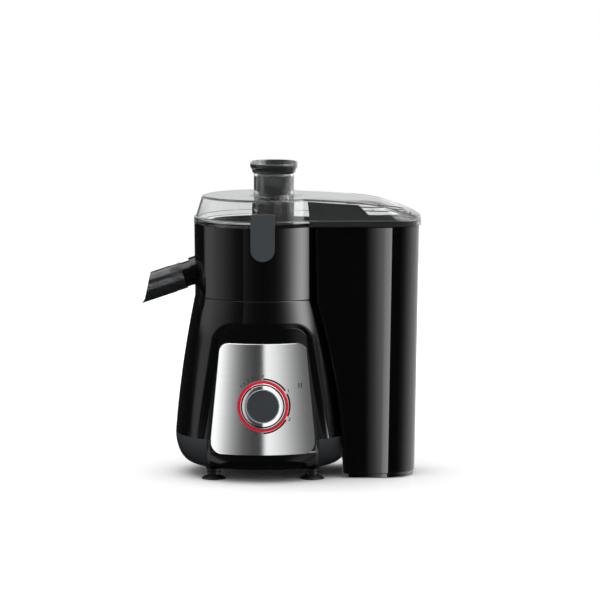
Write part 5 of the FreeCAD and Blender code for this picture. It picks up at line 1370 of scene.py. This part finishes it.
# The distant walls all round: name, radius, paint, its tables, and the pieces that mirror them.
WALLS = (
    ("gloss", 9.0, gloss_light, (GLOSS_BANDS, FLANK_BANDS), (
        "housing_shell", "juice_bowl", "pulp_sill", "deflector_shell", "front_latch", "rear_latch",
        "knob_cap_shell", "dial_seat", "dial_red_shell", "foot_front_left", "foot_front_right")),
    ("steel", 9.3, by_azimuth(STEEL_BANDS), (STEEL_BANDS,), ("panel_plate",)),
    ("ring", 9.6, by_azimuth(RING_BANDS), (RING_BANDS,), ("knob_ring_shell", "dial_trim_shell")),
    ("container", 9.9, by_azimuth(CONTAINER_BANDS), (CONTAINER_BANDS,), ("container_shell",)),
    ("lid", 10.2, lid_light, (TUBE_BANDS, LID_BANDS), ("pusher_shell", "lid_shell")),
    ("spout", 10.5, by_height(SPOUT_BANDS), (SPOUT_BANDS,), ("spout_shell",)))


class JUICER_OT_stage(bpy.types.Operator):
    """Pale floor, soft lights, reflection walls, backdrop and the camera"""
    bl_idname = "juicer.stage"
    bl_label = "Stage"

    def execute(self, context):
        studio = context.scene.juicer_studio
        self.floor()
        self.backdrop(context, studio)
        self.lights()
        self.camera(context, studio)
        return {"FINISHED"}

    def floor(self):
        """Pale floor at the level of the feet: matt, with a faint even sheen, glowing softly far out so that
        it runs into the white backdrop."""
        level = min(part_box(node)[0].z for node in frame["nodes"])
        finish = Finish("pale_floor", Specular_IOR_Level=0.0, Emission_Strength=FLOOR_GLOW)
        x, y, z = finish.place()
        far = finish.clamp(((x * x + y * y).root() - GLOW_FROM) * GLOW_RISE)
        finish.feed(Base_Color=finish.mix(finish.noise(2.0), (0.90, 0.90, 0.90), (0.91, 0.91, 0.91)),
                    Roughness=0.8 + finish.noise(3.0) * 0.05, Emission_Color=finish.mix(far, BLACK, WHITE))
        sheen = finish.add("ShaderNodeBsdfGlossy", {"Color": WHITE, "Roughness": SHEEN_ROUGHNESS})
        finish.surface(finish.add("ShaderNodeMixShader", (SHEEN, finish.shader, sheen)))
        corners = np.array([(-1, -1, 0), (1, -1, 0), (1, 1, 0), (-1, 1, 0)]) * FLOOR_HALF + (0.0, 0.0, level)
        floor = add_object("floor", plain_mesh("floor", corners, np.array([(0, 1, 2, 3)]), finish.material))
        floor.visible_glossy = False

    def backdrop(self, context, studio):
        """White to the eye and through the clear lid, dark in every mirror image, soft on matt surfaces."""
        context.scene.world = bpy.data.worlds.new("studio")
        sky = Nodes(context.scene.world, "ShaderNodeOutputWorld")
        camera, glossy, clear, mirrors = (sky.add("ShaderNodeLightPath", output=ray) for ray in (
            "Is Camera Ray", "Is Glossy Ray", "Is Transmission Ray", "Glossy Depth"))
        through = clear * (mirrors < 0.5)
        matt, mirror, white = (sky.add("ShaderNodeBackground", {"Color": WHITE, "Strength": level})
                               for level in (MATT_LIGHT, MIRROR_LIGHT, studio.backdrop))
        unseen = sky.add("ShaderNodeMixShader", (glossy.larger(clear - through), matt, mirror))
        sky.surface(sky.add("ShaderNodeMixShader", (camera.larger(through), unseen, white)))

    def lights(self):
        """A wide soft light overhead, the reflection walls and the card before the container."""
        lamp = bpy.data.lights.new("overhead", "AREA")
        lamp.shape = "RECTANGLE"
        lamp.size = lamp.size_y = LAMP_SIZE
        lamp.energy = LAMP_POWER
        overhead = add_object("overhead", lamp)
        overhead.location = LAMP_PLACE
        overhead.visible_camera = overhead.visible_transmission = False
        turn = np.radians(np.linspace(-180, 180, WALL_COLUMNS))
        for name, radius, paint, tables, pieces in WALLS:
            wall = around_axis(turn, np.linspace(WALL_FOOT, WALL_HEAD, 3)[:, None], radius + np.zeros((3, 1)))
            reflector(name + "_wall", wall, glow(name + "_glow", paint, *tables), pieces)
        card = np.array([[(AXIS.x + x, AXIS.y - CARD_DISTANCE, z) for x in (CARD_START, CARD_END)]
                         for z in (CARD_FOOT, CARD_HEAD)])
        reflector("container_card", card, glow("container_card_glow", card_light, CARD_BANDS),
                  ("container_shell",))

    def camera(self, context, studio):
        """Camera that looks along +Y, slightly down."""
        lens = bpy.data.cameras.new("camera")
        lens.sensor_width = SENSOR
        lens.lens = SENSOR / 2 / math.tan(studio.view_angle / 2)
        lens.clip_end = VIEW_END
        aim = Vector((AXIS.x + AIM_X, AXIS.y, AIM_Z))
        back = Vector((0, -math.cos(studio.view_height), math.sin(studio.view_height)))
        camera = add_object("camera", lens)
        camera.location = aim + studio.view_distance * back
        camera.rotation_euler = (aim - camera.location).to_track_quat("-Z", "Y").to_euler()
        context.scene.camera = camera
        context.scene.view_settings.view_transform = "Standard"


# ---------------------------------------------------------------- add-on
OPERATORS = (JUICER_OT_housing, JUICER_OT_tub, JUICER_OT_feet, JUICER_OT_panel, JUICER_OT_dial,
             JUICER_OT_bowl, JUICER_OT_spout, JUICER_OT_lid, JUICER_OT_deflector, JUICER_OT_pusher,
             JUICER_OT_latches, JUICER_OT_container, JUICER_OT_basket, JUICER_OT_inner_works, JUICER_OT_stage)


class JUICER_PT_panel(bpy.types.Panel):
    """Sidebar panel that lists the pieces"""
    bl_label = "Juicer"
    bl_idname = "JUICER_PT_panel"
    bl_space_type = "VIEW_3D"
    bl_region_type = "UI"
    bl_category = "Juicer"

    def draw(self, context):
        for group in (context.scene.juicer_sizes, context.scene.juicer_colours, context.scene.juicer_studio):
            for name in group.bl_rna.properties.keys():
                if name not in ("rna_type", "name"):
                    self.layout.prop(group, name)
        for operator in OPERATORS:
            self.layout.operator(operator.bl_idname)


CLASSES = (JuicerSizes, JuicerColours, JuicerStudio, *OPERATORS, JUICER_PT_panel)


def register():
    for item in CLASSES:
        bpy.utils.register_class(item)
    bpy.types.Scene.juicer_sizes = bpy.props.PointerProperty(type=JuicerSizes)
    bpy.types.Scene.juicer_colours = bpy.props.PointerProperty(type=JuicerColours)
    bpy.types.Scene.juicer_studio = bpy.props.PointerProperty(type=JuicerStudio)


def unregister():
    del bpy.types.Scene.juicer_sizes, bpy.types.Scene.juicer_colours, bpy.types.Scene.juicer_studio
    for item in reversed(CLASSES):
        bpy.utils.unregister_class(item)


def main():
    """Registers the add-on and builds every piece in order."""
    register()
    for operator in OPERATORS:
        group, name = operator.bl_idname.split(".")
        getattr(getattr(bpy.ops, group), name)()


if __name__ == "__main__":
    main()
